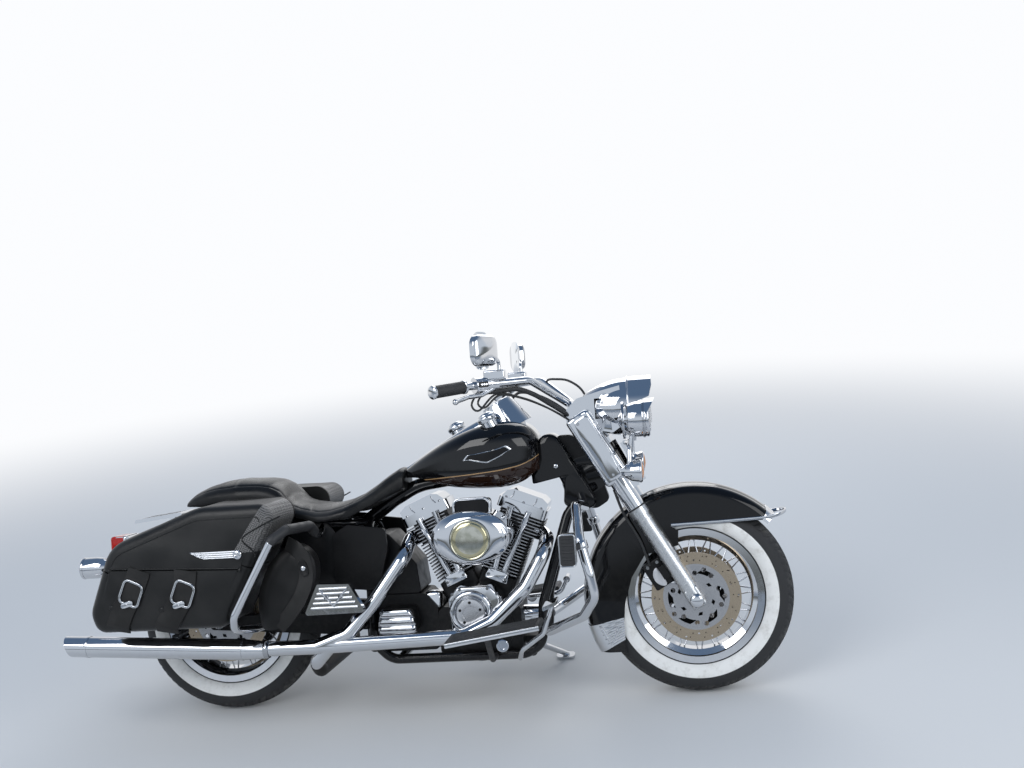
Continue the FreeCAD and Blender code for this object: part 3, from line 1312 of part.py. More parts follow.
def rear_caliper():
    y = -DISC_OFFSET
    body = rounded_slab([(REAR_X + 62, AXLE_Z + 84), (REAR_X + 30, AXLE_Z + 160),
                         (REAR_X + 112, AXLE_Z + 160), (REAR_X + 140, AXLE_Z + 84)],
                        y - 22, y + 16, 10)
    lug = slab([(REAR_X + 64, AXLE_Z), (REAR_X + 64, AXLE_Z + 100), (REAR_X + 110, AXLE_Z + 100),
                (REAR_X + 110, AXLE_Z)], -SWINGARM_INNER + FIT, y - 14)
    body = body.fuse(lug)
    slot = turned([(y - 4.5, 50), (y - 4.5, DISC_RADIUS + 4), (y + 4.5, DISC_RADIUS + 4),
                   (y + 4.5, 50)], (REAR_X, AXLE_Z))
    return body.cut(slot)


STAND_PIVOT = (236.0, 147.0, 158.0)
STAND_REACH = (84.0, 157.0)


def stand_ground(y):
    """Height of the road, in the upright machine's terms, y to the left."""
    crown = (SHOULDER_HALF_WIDTH ** 2 + SHOULDER_DROP ** 2) / (2 * SHOULDER_DROP)
    a = radians(LEAN_ANGLE)
    lift = crown * (1 - math.cos(a))
    return y * math.tan(a) - lift / math.cos(a)


def stand_axes():
    """Down the lowered stand, along its pin, and from the pin to the frame."""
    down = V(84, 157, -108).normalize()
    folded = V(-0.97, 0.2425, 0)
    pin = down.cross(folded).normalize()
    side = V(0, -1, 0)
    inboard = (side - pin * side.dot(pin)).normalize()
    return down, pin, inboard


def side_stand():
    x = STAND_PIVOT[0] + STAND_REACH[0]
    y = STAND_PIVOT[1] + STAND_REACH[1]
    z = stand_ground(y)
    p = V(*STAND_PIVOT)
    down, pin, inboard = stand_axes()
    h = STAND_HUB / 2 - FIT
    hub = Part.makeCylinder(STAND_RADIUS + 3, 2 * h, p - pin * h, pin)
    start = p + down * 8
    leg = tube([tuple(start), tuple(p + down * 70), (x, y - 20, z + 22), (x + 12, y, z + 11)],
               STAND_RADIUS, 50)
    foot = box(x - 26, x + 40, y - 24, y + 24, -5, 5)
    posts = [e for e in foot.Edges if e.BoundBox.ZLength > 5]
    foot = foot.makeFillet(16, posts)
    foot.rotate(V(x, y, 0), V(1, 0, 0), LEAN_ANGLE)
    foot.translate(V(0, 0, z + 5 / math.cos(radians(LEAN_ANGLE))))
    hole = Part.makeCylinder(STAND_PIN + FIT, 2 * h + 2, p - pin * (h + 1), pin)
    return leg.multiFuse([foot, hub]).cut(hole)


def stand_bracket():
    """Two lugs on the left rail that hold the side stand's pin."""
    p = V(*STAND_PIVOT)
    down, pin, inboard = stand_axes()
    across = pin.cross(inboard)
    parts = [Part.makeCylinder(STAND_PIN, STAND_HUB + 12, p - pin * (STAND_HUB / 2 + 6), pin)]
    for start in (-STAND_HUB / 2 - 6, STAND_HUB / 2):
        c = p + pin * start
        corners = [c - inboard * 14 - across * 13, c - inboard * 14 + across * 13]
        corners += [c + inboard * 38 + across * 13, c + inboard * 38 - across * 13]
        face = Part.Face(Part.makePolygon(corners + [corners[0]]))
        parts.append(face.extrude(pin * 6))
    return fuse(parts)


# The finished machine


def lean(shape):
    """Lean the upright machine to its left until the stand meets the road."""
    crown = (SHOULDER_HALF_WIDTH ** 2 + SHOULDER_DROP ** 2) / (2 * SHOULDER_DROP)
    out = shape.copy()
    out.rotate(V(0, 0, 0), V(1, 0, 0), -LEAN_ANGLE)
    out.translate(V(0, 0, crown * (1 - math.cos(radians(LEAN_ANGLE)))))
    return out


def build():
    bag_right, lid_right = bag_parts()
    bar_hole = tube(BAR_POINTS[3:8], BAR_RADIUS + FIT, 60)
    upright = {
        "frame": frame().fuse(stand_bracket()),
        "swingarm": swingarm(),
        "rear_axle": rear_axle(),
        "rear_shocks": rear_shocks(),
        "rear_fender": rear_fender(),
        "rear_lamps": rear_lamps(),
        "luggage_rack": luggage_rack(),
        "crankcase": crankcase(),
        "cylinders": cylinders(),
        "rocker_boxes": rocker_boxes(),
        "pushrod_tubes": pushrod_tubes(),
        "gearcase_cover": gearcase_cover(),
        "air_cleaner": air_cleaner(),
        "primary_cover": primary_cover(),
        "gearbox": gearbox(),
        "drive_belt": drive_belt(),
        "header_pipes": header_pipes(),
        "mufflers": mufflers(),
        "fuel_tank": fuel_tank(),
        "tank_console": tank_console(),
        "seat": seat(),
        "side_covers": side_covers(),
        "bag_right": bag_right,
        "bag_left": flipped(bag_right),
        "lid_right": lid_right,
        "lid_left": flipped(lid_right),
        "bag_guards": bag_guards(),
        "guard_pouches": guard_pouches(),
        "engine_guard": engine_guard(),
        "highway_pegs": highway_pegs(),
        "rider_boards": rider_boards(),
        "passenger_boards": passenger_boards(),
        "foot_controls": foot_controls(),
        "rear_caliper": rear_caliper(),
        "side_stand": side_stand(),
        "fork_tubes": fork_tubes(),
        "fork_sliders": fork_sliders(),
        "headlamp_nacelle": nacelle_body().fuse(visor()).cut(bar_hole),
        "headlamp": headlamp(),
        "auxiliary_lamps": auxiliary_lamps(),
        "handlebar": handlebar(),
        "grips": grips(),
        "hand_controls": hand_controls(),
        "mirrors": mirrors(),
        "front_fender": front_fender(),
        "front_axle": front_axle(),
        "front_calipers": front_calipers(),
        "front_tyre": tyre(FRONT_X),
        "front_rim": rim(FRONT_X),
        "front_discs": Part.makeCompound([disc(FRONT_X, -1), disc(FRONT_X, 1)]),
        "rear_tyre": tyre(REAR_X),
        "rear_rim": rim(REAR_X),
        "rear_disc": disc(REAR_X, -1),
        "rear_pulley": pulley(),
    }
    return {name: lean(shape) for name, shape in upright.items()}


PIECES = build()
WHOLE = Part.makeCompound(list(PIECES.values()))
BOUNDS = WHOLE.optimalBoundingBox(False, False)
SHIFT = V(-(BOUNDS.XMin + BOUNDS.XMax) / 2, -(BOUNDS.YMin + BOUNDS.YMax) / 2, 0)
for name, piece in PIECES.items():
    piece.translate(SHIFT)
    piece.exportStep("parts/" + name + ".step")
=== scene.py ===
import math

import bmesh
import bpy
import numpy as np
from mathutils import Matrix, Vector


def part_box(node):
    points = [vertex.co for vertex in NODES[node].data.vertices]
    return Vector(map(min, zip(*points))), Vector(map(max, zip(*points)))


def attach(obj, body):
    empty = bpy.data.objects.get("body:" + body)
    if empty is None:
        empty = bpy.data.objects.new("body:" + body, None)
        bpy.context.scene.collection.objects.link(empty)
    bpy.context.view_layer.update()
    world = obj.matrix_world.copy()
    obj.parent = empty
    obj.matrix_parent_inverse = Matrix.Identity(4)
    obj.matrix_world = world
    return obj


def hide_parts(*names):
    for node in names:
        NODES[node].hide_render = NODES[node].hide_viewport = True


# A parked touring cruiser motorcycle. Lengths in the making functions are
# millimetres of the upright machine: x forward, y to the rider's left, z up,
# with the ground at zero and x = 0 half way between the axles.

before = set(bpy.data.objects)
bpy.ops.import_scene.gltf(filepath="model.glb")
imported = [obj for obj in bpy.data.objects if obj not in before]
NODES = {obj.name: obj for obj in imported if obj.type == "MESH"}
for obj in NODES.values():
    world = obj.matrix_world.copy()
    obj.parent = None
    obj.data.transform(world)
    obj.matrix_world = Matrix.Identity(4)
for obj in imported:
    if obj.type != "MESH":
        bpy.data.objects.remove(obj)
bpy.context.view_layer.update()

LEAN = math.radians(10.0)
FRONT_X = 806.5
REAR_X = -806.5
AXLE_Z = 320.0
FORK_ANGLE = math.radians(29.25)
BANK_ANGLE = math.radians(22.5)
ENGINE_X = 88.0
ENGINE_Z = 258.0
TYRE_LOW, TYRE_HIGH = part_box("front_tyre")
SHIFT_X = (TYRE_LOW.x + TYRE_HIGH.x) / 2 - FRONT_X / 1000
SHIFT_Y = (TYRE_LOW.y + TYRE_HIGH.y) / 2 - AXLE_Z / 1000 * math.sin(LEAN)
LIFT = 0.07202 * (1 - math.cos(LEAN))


def leaned(points):
    """Upright millimetres to metres of the leaning machine.

    y and z turn about the x axis by the lean angle, then all is shifted.
    """
    p = np.asarray(points, float) / 1000
    y = p[..., 1] * math.cos(LEAN) + p[..., 2] * math.sin(LEAN) + SHIFT_Y
    z = p[..., 2] * math.cos(LEAN) - p[..., 1] * math.sin(LEAN) + LIFT
    return np.stack([p[..., 0] + SHIFT_X, y, z], -1)


def unit(v):
    v = np.asarray(v, float)
    return v / np.linalg.norm(v, axis=-1, keepdims=True)


def fork(s, f, y):
    """Up the fork leg from the axle by s, ahead of it by f."""
    a = FORK_ANGLE
    return np.array([FRONT_X - s * math.sin(a) + f * math.cos(a), y,
                     AXLE_Z + s * math.cos(a) + f * math.sin(a)])


def bank(side, s, p, y):
    """Up a cylinder from the crank by s and away from the vee by p; side 1 is the front one."""
    a = BANK_ANGLE
    return np.array([ENGINE_X + side * (s * math.sin(a) + p * math.cos(a)), y,
                     ENGINE_Z + s * math.cos(a) - p * math.sin(a)])


# Surfaces


def skin(name, grids, body, finish, mirror=False, wall=0.0):
    """A mesh from one or more grids of points, rows by columns, each quad between neighbours.

    A grid's own row and column fractions become its UV. Rows that close on
    themselves or shrink to a point are merged. mirror adds the left twin.
    """
    points = []
    faces = []
    uvs = []
    base = 0
    for grid in grids if isinstance(grids, (list, tuple)) else [grids]:
        for turn in ((1, -1) if mirror else (1,)):
            g = np.array(grid, float)
            g[..., 1] = g[..., 1] * turn
            rows, cols = g.shape[:2]
            index = np.arange(rows * cols).reshape(rows, cols) + base
            quads = np.stack([index[:-1, :-1], index[1:, :-1], index[1:, 1:], index[:-1, 1:]], -1)
            u, v = np.meshgrid(np.linspace(0, 1, cols), np.linspace(0, 1, rows))
            points.append(leaned(g).reshape(-1, 3))
            faces.append(quads.reshape(-1, 4))
            uvs.append(np.stack([u, v], -1).reshape(-1, 2))
            base += rows * cols
    points = np.concatenate(points)
    faces = np.concatenate(faces)
    uvs = np.concatenate(uvs)
    mesh = bpy.data.meshes.new(name)
    mesh.from_pydata(points, [], faces.tolist())
    layer = mesh.uv_layers.new(name="UVMap")
    layer.data.foreach_set("uv", uvs[faces.ravel()].ravel())
    bm = bmesh.new()
    bm.from_mesh(mesh)
    bmesh.ops.remove_doubles(bm, verts=bm.verts, dist=2e-6)
    bmesh.ops.dissolve_degenerate(bm, edges=bm.edges, dist=1e-7)
    bmesh.ops.recalc_face_normals(bm, faces=bm.faces)
    bm.to_mesh(mesh)
    bm.free()
    mesh.polygons.foreach_set("use_smooth", np.full(len(mesh.polygons), True))
    piece = bpy.data.objects.new(name, mesh)
    bpy.context.scene.collection.objects.link(piece)
    mesh.materials.append(finish)
    if wall:
        shell = piece.modifiers.new("wall", "SOLIDIFY")
        shell.thickness = abs(wall) / 1000
        shell.offset = 1.0 if wall > 0 else -1.0
        shell.use_even_offset = False
    split = piece.modifiers.new("creases", "EDGE_SPLIT")
    split.split_angle = math.radians(38)
    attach(piece, body)
    return piece


def across(axis):
    """Two unit vectors square to an axis and to each other."""
    axis = unit(axis)
    guess = np.array([0.0, 1.0, 0.0]) if abs(axis[1]) < 0.8 else np.array([0.0, 0.0, 1.0])
    first = unit(guess - axis * guess.dot(axis))
    return first, np.cross(axis, first)


def revolved(profile, centre, axis, sides=64):
    """A profile of (along, radius) pairs turned about an axis.

    point = centre + along * axis + radius * (cos t * e1 + sin t * e2)
    """
    axis = unit(axis)
    e1, e2 = across(axis)
    profile = np.asarray(profile, float)
    t = np.linspace(0.0, 1.0, sides + 1) * 2 * np.pi
    ring = np.cos(t)[:, None] * e1 + np.sin(t)[:, None] * e2
    return (np.asarray(centre, float) + profile[:, 0, None, None] * axis
            + profile[:, 1, None, None] * ring[None])


def smooth_line(points, count):
    """A centripetal curve through the points, sampled evenly by its own length.

    Each span is a cubic whose end slopes are the neighbours' differences.
    """
    p = np.asarray(points, float)
    slopes = np.gradient(p, axis=0)
    t = np.linspace(0, len(p) - 1, 60 * (len(p) - 1) + 1)
    k = np.minimum(t.astype(int), len(p) - 2)
    f = (t - k)[:, None]
    h = (2 * f**3 - 3 * f**2 + 1) * p[k] + (f**3 - 2 * f**2 + f) * slopes[k]
    h = h + (3 * f**2 - 2 * f**3) * p[k + 1] + (f**3 - f**2) * slopes[k + 1]
    step = np.concatenate([[0], np.cumsum(np.linalg.norm(np.diff(h, axis=0), axis=1))])
    at = np.linspace(0, step[-1], count)
    return np.stack([np.interp(at, step, h[:, i]) for i in range(3)], -1)


def bent_line(points, bend, count=10):
    """Straight runs joined by round corners of the bend radius, as bent tube has."""
    p = np.asarray(points, float)
    out = [p[:1]]
    t = np.linspace(0, 1, count)[:, None]
    for a, b, c in zip(p[:-2], p[1:-1], p[2:]):
        back = unit(a - b)
        ahead = unit(c - b)
        half = math.acos(max(-1.0, min(1.0, float(back.dot(ahead))))) / 2
        if math.pi - 2 * half < 0.02:
            continue
        room = 0.48 * min(np.linalg.norm(a - b), np.linalg.norm(c - b))
        setback = min(bend / math.tan(half), room)
        radius = setback * math.tan(half)
        centre = b + unit(back + ahead) * (setback / math.cos(half))
        first = unit(b + back * setback - centre)
        last = unit(b + ahead * setback - centre)
        turn = math.acos(max(-1.0, min(1.0, float(first.dot(last)))))
        arc = (np.sin((1 - t) * turn) * first + np.sin(t * turn) * last) / math.sin(turn)
        out.append(centre + radius * arc)
    out.append(p[-1:])
    return np.concatenate(out)


def carried(line, section, up=(0.0, 0.0, 1.0)):
    """A flat section carried along a line and closed to a point at both ends.

    point = line(s) + section_a * side(s) + section_b * lift(s),
    where side and lift are square to the line's direction.
    """
    line = np.asarray(line, float)
    ahead = unit(np.gradient(line, axis=0))
    side = unit(np.cross(ahead, np.broadcast_to(np.asarray(up, float), line.shape)))
    lift = np.cross(side, ahead)
    section = np.asarray(section, float)
    rows = line[:, None] + (section[None, :, :1] * side[:, None]
                            + section[None, :, 1:] * lift[:, None])
    width = len(section)
    return np.concatenate([np.repeat(line[:1, None], width, 1), rows,
                           np.repeat(line[-1:, None], width, 1)])


def circle(radius, sides=20):
    t = np.linspace(0, 2 * np.pi, sides + 1)
    return np.stack([np.cos(t), np.sin(t)], -1) * radius


def oval(a, b, power=2.0, sides=64):
    """A closed oval: |x/a|^power + |y/b|^power = 1, squarer as power grows."""
    t = np.linspace(0, 2 * np.pi, sides + 1)
    c = np.cos(t)
    s = np.sin(t)
    return np.stack([a * np.sign(c) * np.abs(c)**(2 / power),
                     b * np.sign(s) * np.abs(s)**(2 / power)], -1)


def rounded(corners, radius, each=6):
    """A closed outline of straight lines with round corners."""
    p = np.asarray(corners, float)
    t = np.linspace(0, 1, each + 1)[:, None]
    out = []
    for n in range(len(p)):
        a, b, c = p[n - 1], p[n], p[(n + 1) % len(p)]
        r = radius[n] if isinstance(radius, (list, tuple)) else radius
        back = unit(a - b)
        ahead = unit(c - b)
        cut = min(r, 0.48 * np.linalg.norm(a - b), 0.48 * np.linalg.norm(c - b))
        first = b + back * cut
        last = b + ahead * cut
        out.append((1 - t)**2 * first + 2 * t * (1 - t) * b + t**2 * last)
    out.append(out[0][:1])
    return np.concatenate(out)


def oblong(half_wide, half_high, radius, each=6):
    """A rounded rectangle about its own middle."""
    a, b = half_wide, half_high
    return rounded([(-a, -b), (a, -b), (a, b), (-a, b)], radius, each)


def raised(outline, rows, centre, e1, e2, middle=None):
    """A plate or dome: the outline shrunk and lifted row by row.

    point = centre + shrink * (x e1 + y e2) + height * (e1 x e2), for rows of
    (shrink, height); shrink 0 closes it. A row may give an inset in
    millimetres instead, as ("in", inset, height).
    """
    outline = np.asarray(outline, float)
    middle = outline[:-1].mean(0) if middle is None else np.asarray(middle, float)
    e1 = unit(e1)
    e2 = unit(e2)
    normal = np.cross(e1, e2)
    flat = outline - middle
    reach = np.linalg.norm(flat, axis=1, keepdims=True)
    grid = []
    for row in rows:
        if row[0] == "in":
            ring = flat * (1 - row[1] / np.maximum(reach, row[1] + 0.01))
            height = row[2]
        else:
            ring = flat * row[0]
            height = row[1]
        ring = ring + middle
        grid.append(np.asarray(centre, float) + ring[:, :1] * e1 + ring[:, 1:] * e2
                    + height * normal)
    return np.array(grid)


# Shader groups and finishes


def group(name, inputs, outputs):
    """An empty shader group with named inputs and outputs, and its two end nodes."""
    tree = bpy.data.node_groups.new(name, "ShaderNodeTree")
    for kind, label, value in inputs:
        socket = tree.interface.new_socket(name=label, in_out="INPUT", socket_type=kind)
        if value is not None:
            socket.default_value = value
    for kind, label in outputs:
        tree.interface.new_socket(name=label, in_out="OUTPUT", socket_type=kind)
    return tree, tree.nodes.new("NodeGroupInput"), tree.nodes.new("NodeGroupOutput")


def add(tree, kind, links=(), **values):
    """A node with its settings, its socket values and its links from (socket, source)."""
    node = tree.nodes.new(kind)
    for key, value in values.items():
        if hasattr(node, key):
            setattr(node, key, value)
        else:
            node.inputs[key.replace("_", " ")].default_value = value
    for socket, source in links:
        tree.links.new(source, node.inputs[socket])
    return node


def arithmetic(tree, operation, a, b=None, c=None, clamp=False):
    node = tree.nodes.new("ShaderNodeMath")
    node.operation = operation
    node.use_clamp = clamp
    for number, value in enumerate((a, b, c)):
        if value is None:
            continue
        if isinstance(value, (int, float)):
            node.inputs[number].default_value = value
        else:
            tree.links.new(value, node.inputs[number])
    return node.outputs[0]


def blended(tree, factor, a, b):
    """A colour that goes from a to b as factor goes from 0 to 1."""
    node = tree.nodes.new("ShaderNodeMix")
    node.data_type = "RGBA"
    tree.links.new(factor, node.inputs[0])
    for socket, value in ((6, a), (7, b)):
        if isinstance(value, (tuple, list)):
            node.inputs[socket].default_value = tuple(value) + (1.0,) * (4 - len(value))
        else:
            tree.links.new(value, node.inputs[socket])
    return node.outputs[2]


def between(tree, value, low, high, out_low=0.0, out_high=1.0):
    """A value between low and high carried smoothly to the two output values."""
    node = tree.nodes.new("ShaderNodeMapRange")
    node.interpolation_type = "SMOOTHSTEP"
    tree.links.new(value, node.inputs["Value"])
    for label, number in (("From Min", low), ("From Max", high), ("To Min", out_low),
                          ("To Max", out_high)):
        node.inputs[label].default_value = number
    return node.outputs["Result"]


def leather_grain():
    """Cells and fine noise: the pebbled grain of a hide, with creases and a colour change."""
    tree, start, end = group(
        "Leather grain",
        [("NodeSocketVector", "Place", None), ("NodeSocketFloat", "Scale", 420.0),
         ("NodeSocketFloat", "Creases", 0.35)],
        [("NodeSocketFloat", "Height"), ("NodeSocketFloat", "Shade")])
    cells = add(tree, "ShaderNodeTexVoronoi", [("Vector", start.outputs["Place"]),
                ("Scale", start.outputs["Scale"])], feature="DISTANCE_TO_EDGE")
    pebble = between(tree, cells.outputs["Distance"], 0.0, 0.28)
    folds = add(tree, "ShaderNodeTexNoise", [("Vector", start.outputs["Place"])], Scale=34.0,
                Detail=6.0, Roughness=0.6)
    crease = between(tree, folds.outputs["Fac"], 0.36, 0.64)
    height = arithmetic(tree, "MULTIPLY_ADD", crease, start.outputs["Creases"], pebble)
    broad = add(tree, "ShaderNodeTexNoise", [("Vector", start.outputs["Place"])], Scale=7.0,
                Detail=4.0)
    tree.links.new(height, end.inputs["Height"])
    tree.links.new(broad.outputs["Fac"], end.inputs["Shade"])
    return tree


def handling_marks():
    """Soft smears and fine hairlines that break up a polish."""
    tree, start, end = group(
        "Handling marks",
        [("NodeSocketVector", "Place", None), ("NodeSocketFloat", "Low", 0.04),
         ("NodeSocketFloat", "High", 0.14)],
        [("NodeSocketFloat", "Roughness"), ("NodeSocketFloat", "Height")])
    smear = add(tree, "ShaderNodeTexNoise", [("Vector", start.outputs["Place"])], Scale=22.0,
                Detail=8.0, Roughness=0.65, Distortion=0.4)
    amount = between(tree, smear.outputs["Fac"], 0.42, 0.75)
    span = arithmetic(tree, "SUBTRACT", start.outputs["High"], start.outputs["Low"])
    rough = arithmetic(tree, "MULTIPLY_ADD", amount, span, start.outputs["Low"])
    ripple = add(tree, "ShaderNodeTexNoise", [("Vector", start.outputs["Place"])], Scale=260.0,
                 Detail=2.0)
    tree.links.new(rough, end.inputs["Roughness"])
    tree.links.new(ripple.outputs["Fac"], end.inputs["Height"])
    return tree


def road_dust():
    """Pale dust: thicker low down, broken by noise."""
    tree, start, end = group(
        "Road dust",
        [("NodeSocketVector", "Place", None), ("NodeSocketFloat", "Amount", 0.2),
         ("NodeSocketFloat", "Top", 0.6)],
        [("NodeSocketFloat", "Mask")])
    split = add(tree, "ShaderNodeSeparateXYZ", [("Vector", start.outputs["Place"])])
    low = arithmetic(tree, "DIVIDE", split.outputs["Z"], start.outputs["Top"])
    low = arithmetic(tree, "SUBTRACT", 1.0, low, clamp=True)
    noise = add(tree, "ShaderNodeTexNoise", [("Vector", start.outputs["Place"])], Scale=60.0,
                Detail=8.0, Roughness=0.7)
    spots = between(tree, noise.outputs["Fac"], 0.35, 0.7)
    mask = arithmetic(tree, "MULTIPLY", low, spots)
    mask = arithmetic(tree, "MULTIPLY", mask, start.outputs["Amount"], clamp=True)
    tree.links.new(mask, end.inputs["Mask"])
    return tree


def brushed_lines():
    """Fine lines stretched along one axis, as brushing or turning leaves."""
    tree, start, end = group(
        "Brushed lines",
        [("NodeSocketVector", "Place", None), ("NodeSocketVector", "Stretch", (4.0, 400.0, 4.0))],
        [("NodeSocketFloat", "Height")])
    stretched = add(tree, "ShaderNodeVectorMath", [(0, start.outputs["Place"]),
                    (1, start.outputs["Stretch"])], operation="MULTIPLY")
    lines = add(tree, "ShaderNodeTexNoise", [("Vector", stretched.outputs[0])], Scale=1.0,
                Detail=5.0, Roughness=0.6)
    tree.links.new(lines.outputs["Fac"], end.inputs["Height"])
    return tree


GRAIN = leather_grain()
MARKS = handling_marks()
DUST = road_dust()
BRUSHED = brushed_lines()


def finish(name, **values):
    """A material with its Principled shader, and the upright place as a vector in metres."""
    material = bpy.data.materials.new(name)
    material.use_nodes = True
    tree = material.node_tree
    shader = tree.nodes["Principled BSDF"]
    for key, value in values.items():
        label = key.replace("_", " ")
        if label == "Base Color":
            value = tuple(value) + (1.0,) * (4 - len(value))
        shader.inputs[label].default_value = value
    place = add(tree, "ShaderNodeTexCoord").outputs["Object"]
    upright = tree.nodes.new("ShaderNodeMapping")
    upright.vector_type = "TEXTURE"
    upright.inputs["Location"].default_value = (SHIFT_X, SHIFT_Y, LIFT)
    upright.inputs["Rotation"].default_value = (-LEAN, 0, 0)
    tree.links.new(place, upright.inputs["Vector"])
    return material, tree, shader, upright.outputs["Vector"]


def placed(tree, shared, **sources):
    """A shared group in this material, with its inputs linked or set."""
    node = tree.nodes.new("ShaderNodeGroup")
    node.node_tree = shared
    for key, value in sources.items():
        label = key.replace("_", " ")
        if isinstance(value, (int, float, tuple)):
            node.inputs[label].default_value = value
        else:
            tree.links.new(value, node.inputs[label])
    return node


def bumped(tree, shader, height, strength, distance):
    node = add(tree, "ShaderNodeBump", [("Height", height)], Strength=strength, Distance=distance)
    tree.links.new(node.outputs["Normal"], shader.inputs["Normal"])


def weathered(name, tint, dirt, marked, dust, top, bump=None, **values):
    """A finish with handling marks from rough to smooth, and dust of the dirt colour low down."""
    material, tree, shader, place = finish(name, Base_Color=tint, **values)
    marks = placed(tree, MARKS, Place=place, Low=marked[0], High=marked[1])
    tree.links.new(marks.outputs["Roughness"], shader.inputs["Roughness"])
    mask = placed(tree, DUST, Place=place, Amount=dust, Top=top)
    tree.links.new(blended(tree, mask.outputs["Mask"], tint, dirt), shader.inputs["Base Color"])
    if bump:
        bumped(tree, shader, marks.outputs["Height"], *bump)
    return material


def chrome(name="Chrome", tint=(0.64, 0.65, 0.67), low=0.03, high=0.10, dust=0.2):
    return weathered(name, tint, (0.42, 0.4, 0.37), (low, high), dust, 0.5, (0.02, 0.0002),
                     Metallic=1.0)


def black_paint():
    return weathered("Black paint", (0.003, 0.003, 0.0035), (0.16, 0.15, 0.13), (0.08, 0.22),
                     0.1, 0.55, Roughness=0.12, Specular_IOR_Level=0.1, Coat_Weight=1.0,
                     Coat_Roughness=0.03, Coat_IOR=1.32)


def satin_black(name="Satin black", tint=(0.006, 0.006, 0.0065), rough=0.42):
    return weathered(name, tint, (0.15, 0.14, 0.12), (rough - 0.08, rough + 0.12), 0.12, 0.6,
                     (0.08, 0.0003), Roughness=rough, Specular_IOR_Level=0.22)


def brushed_alloy():
    material, tree, shader, place = finish("Brushed alloy", Base_Color=(0.58, 0.59, 0.6),
                                           Metallic=1.0, Roughness=0.3)
    lines = placed(tree, BRUSHED, Place=place, Stretch=(480.0, 480.0, 48.0))
    rough = between(tree, lines.outputs["Height"], 0.3, 0.7, 0.2, 0.42)
    tree.links.new(rough, shader.inputs["Roughness"])
    bumped(tree, shader, lines.outputs["Height"], 0.03, 0.0002)
    return material


def rubber():
    return weathered("Rubber", (0.022, 0.022, 0.023), (0.13, 0.12, 0.11), (0.62 - 0.1, 0.62 + 0.15),
                     0.5, 0.5, (0.15, 0.0004), Roughness=0.62)


def black_leather(name="Black leather", tint=(0.006, 0.0058, 0.0058), scale=420.0, strength=0.25,
                  rough=0.36):
    material, tree, shader, place = finish(name, Base_Color=tint, Roughness=rough,
                                           Specular_IOR_Level=0.22)
    grain = placed(tree, GRAIN, Place=place, Scale=scale)
    worn = between(tree, grain.outputs["Shade"], 0.35, 0.75)
    tree.links.new(blended(tree, worn, tint, tuple(2.4 * c for c in tint)),
                   shader.inputs["Base Color"])
    tree.links.new(between(tree, grain.outputs["Shade"], 0.3, 0.7, rough - 0.08, rough + 0.14),
                   shader.inputs["Roughness"])
    bumped(tree, shader, grain.outputs["Height"], strength, 0.0005)
    return material


CHROME = chrome()
BLACK = black_paint()
SATIN = satin_black()
ALLOY = brushed_alloy()
RUBBER = rubber()
LEATHER = black_leather()


def arithmetic_between(tree, value, low, high, soft):
    """1 where value lies between low and high, fading over soft at both ends."""
    rise = between(tree, value, low - soft, low + soft)
    fall = between(tree, value, high - soft, high + soft, 1.0, 0.0)
    return arithmetic(tree, "MULTIPLY", rise, fall)


def drawn_curve(tree, value, points, low, high):
    """A curve through (input, output) points, both running from low to high in metres."""
    scaled = between_linear(tree, value, low, high)
    node = tree.nodes.new("ShaderNodeFloatCurve")
    curve = node.mapping.curves[0]
    pairs = [((a - low) / (high - low), (b - low) / (high - low)) for a, b in points]
    curve.points[0].location = pairs[0]
    curve.points[1].location = pairs[-1]
    for pair_of in pairs[1:-1]:
        curve.points.new(*pair_of)
    node.mapping.update()
    tree.links.new(scaled, node.inputs["Value"])
    return arithmetic(tree, "MULTIPLY_ADD", node.outputs["Value"], high - low, low)


def between_linear(tree, value, low, high):
    node = tree.nodes.new("ShaderNodeMapRange")
    tree.links.new(value, node.inputs["Value"])
    node.inputs["From Min"].default_value = low
    node.inputs["From Max"].default_value = high
    return node.outputs["Result"]


def tank_paint():
    """Gloss black over a deep brown lower panel, parted by a thin gold line."""
    material, tree, shader, place = finish("Two tone tank paint", Base_Color=(0.003, 0.003, 0.0035),
                                           Roughness=0.1, Specular_IOR_Level=0.15,
                                           Coat_Weight=1.0, Coat_Roughness=0.02,
                                           Coat_IOR=1.38)
    split = add(tree, "ShaderNodeSeparateXYZ", [("Vector", place)])
    line = drawn_curve(tree, split.outputs["X"],
                       [(-0.14, 0.755), (-0.06, 0.760), (0.035, 0.767), (0.13, 0.774),
                        (0.217, 0.783), (0.28, 0.797), (0.33, 0.826), (0.36, 0.86)], -0.2, 1.0)
    gap = arithmetic(tree, "SUBTRACT", split.outputs["Z"], line)
    lower = between(tree, gap, -0.001, 0.001, 1.0, 0.0)
    stripe = arithmetic_between(tree, gap, -0.0016, 0.0016, 0.0004)
    colour = blended(tree, lower, (0.003, 0.003, 0.0035), (0.018, 0.008, 0.005))
    colour = blended(tree, stripe, colour, (0.34, 0.21, 0.10))
    tree.links.new(colour, shader.inputs["Base Color"])
    return material


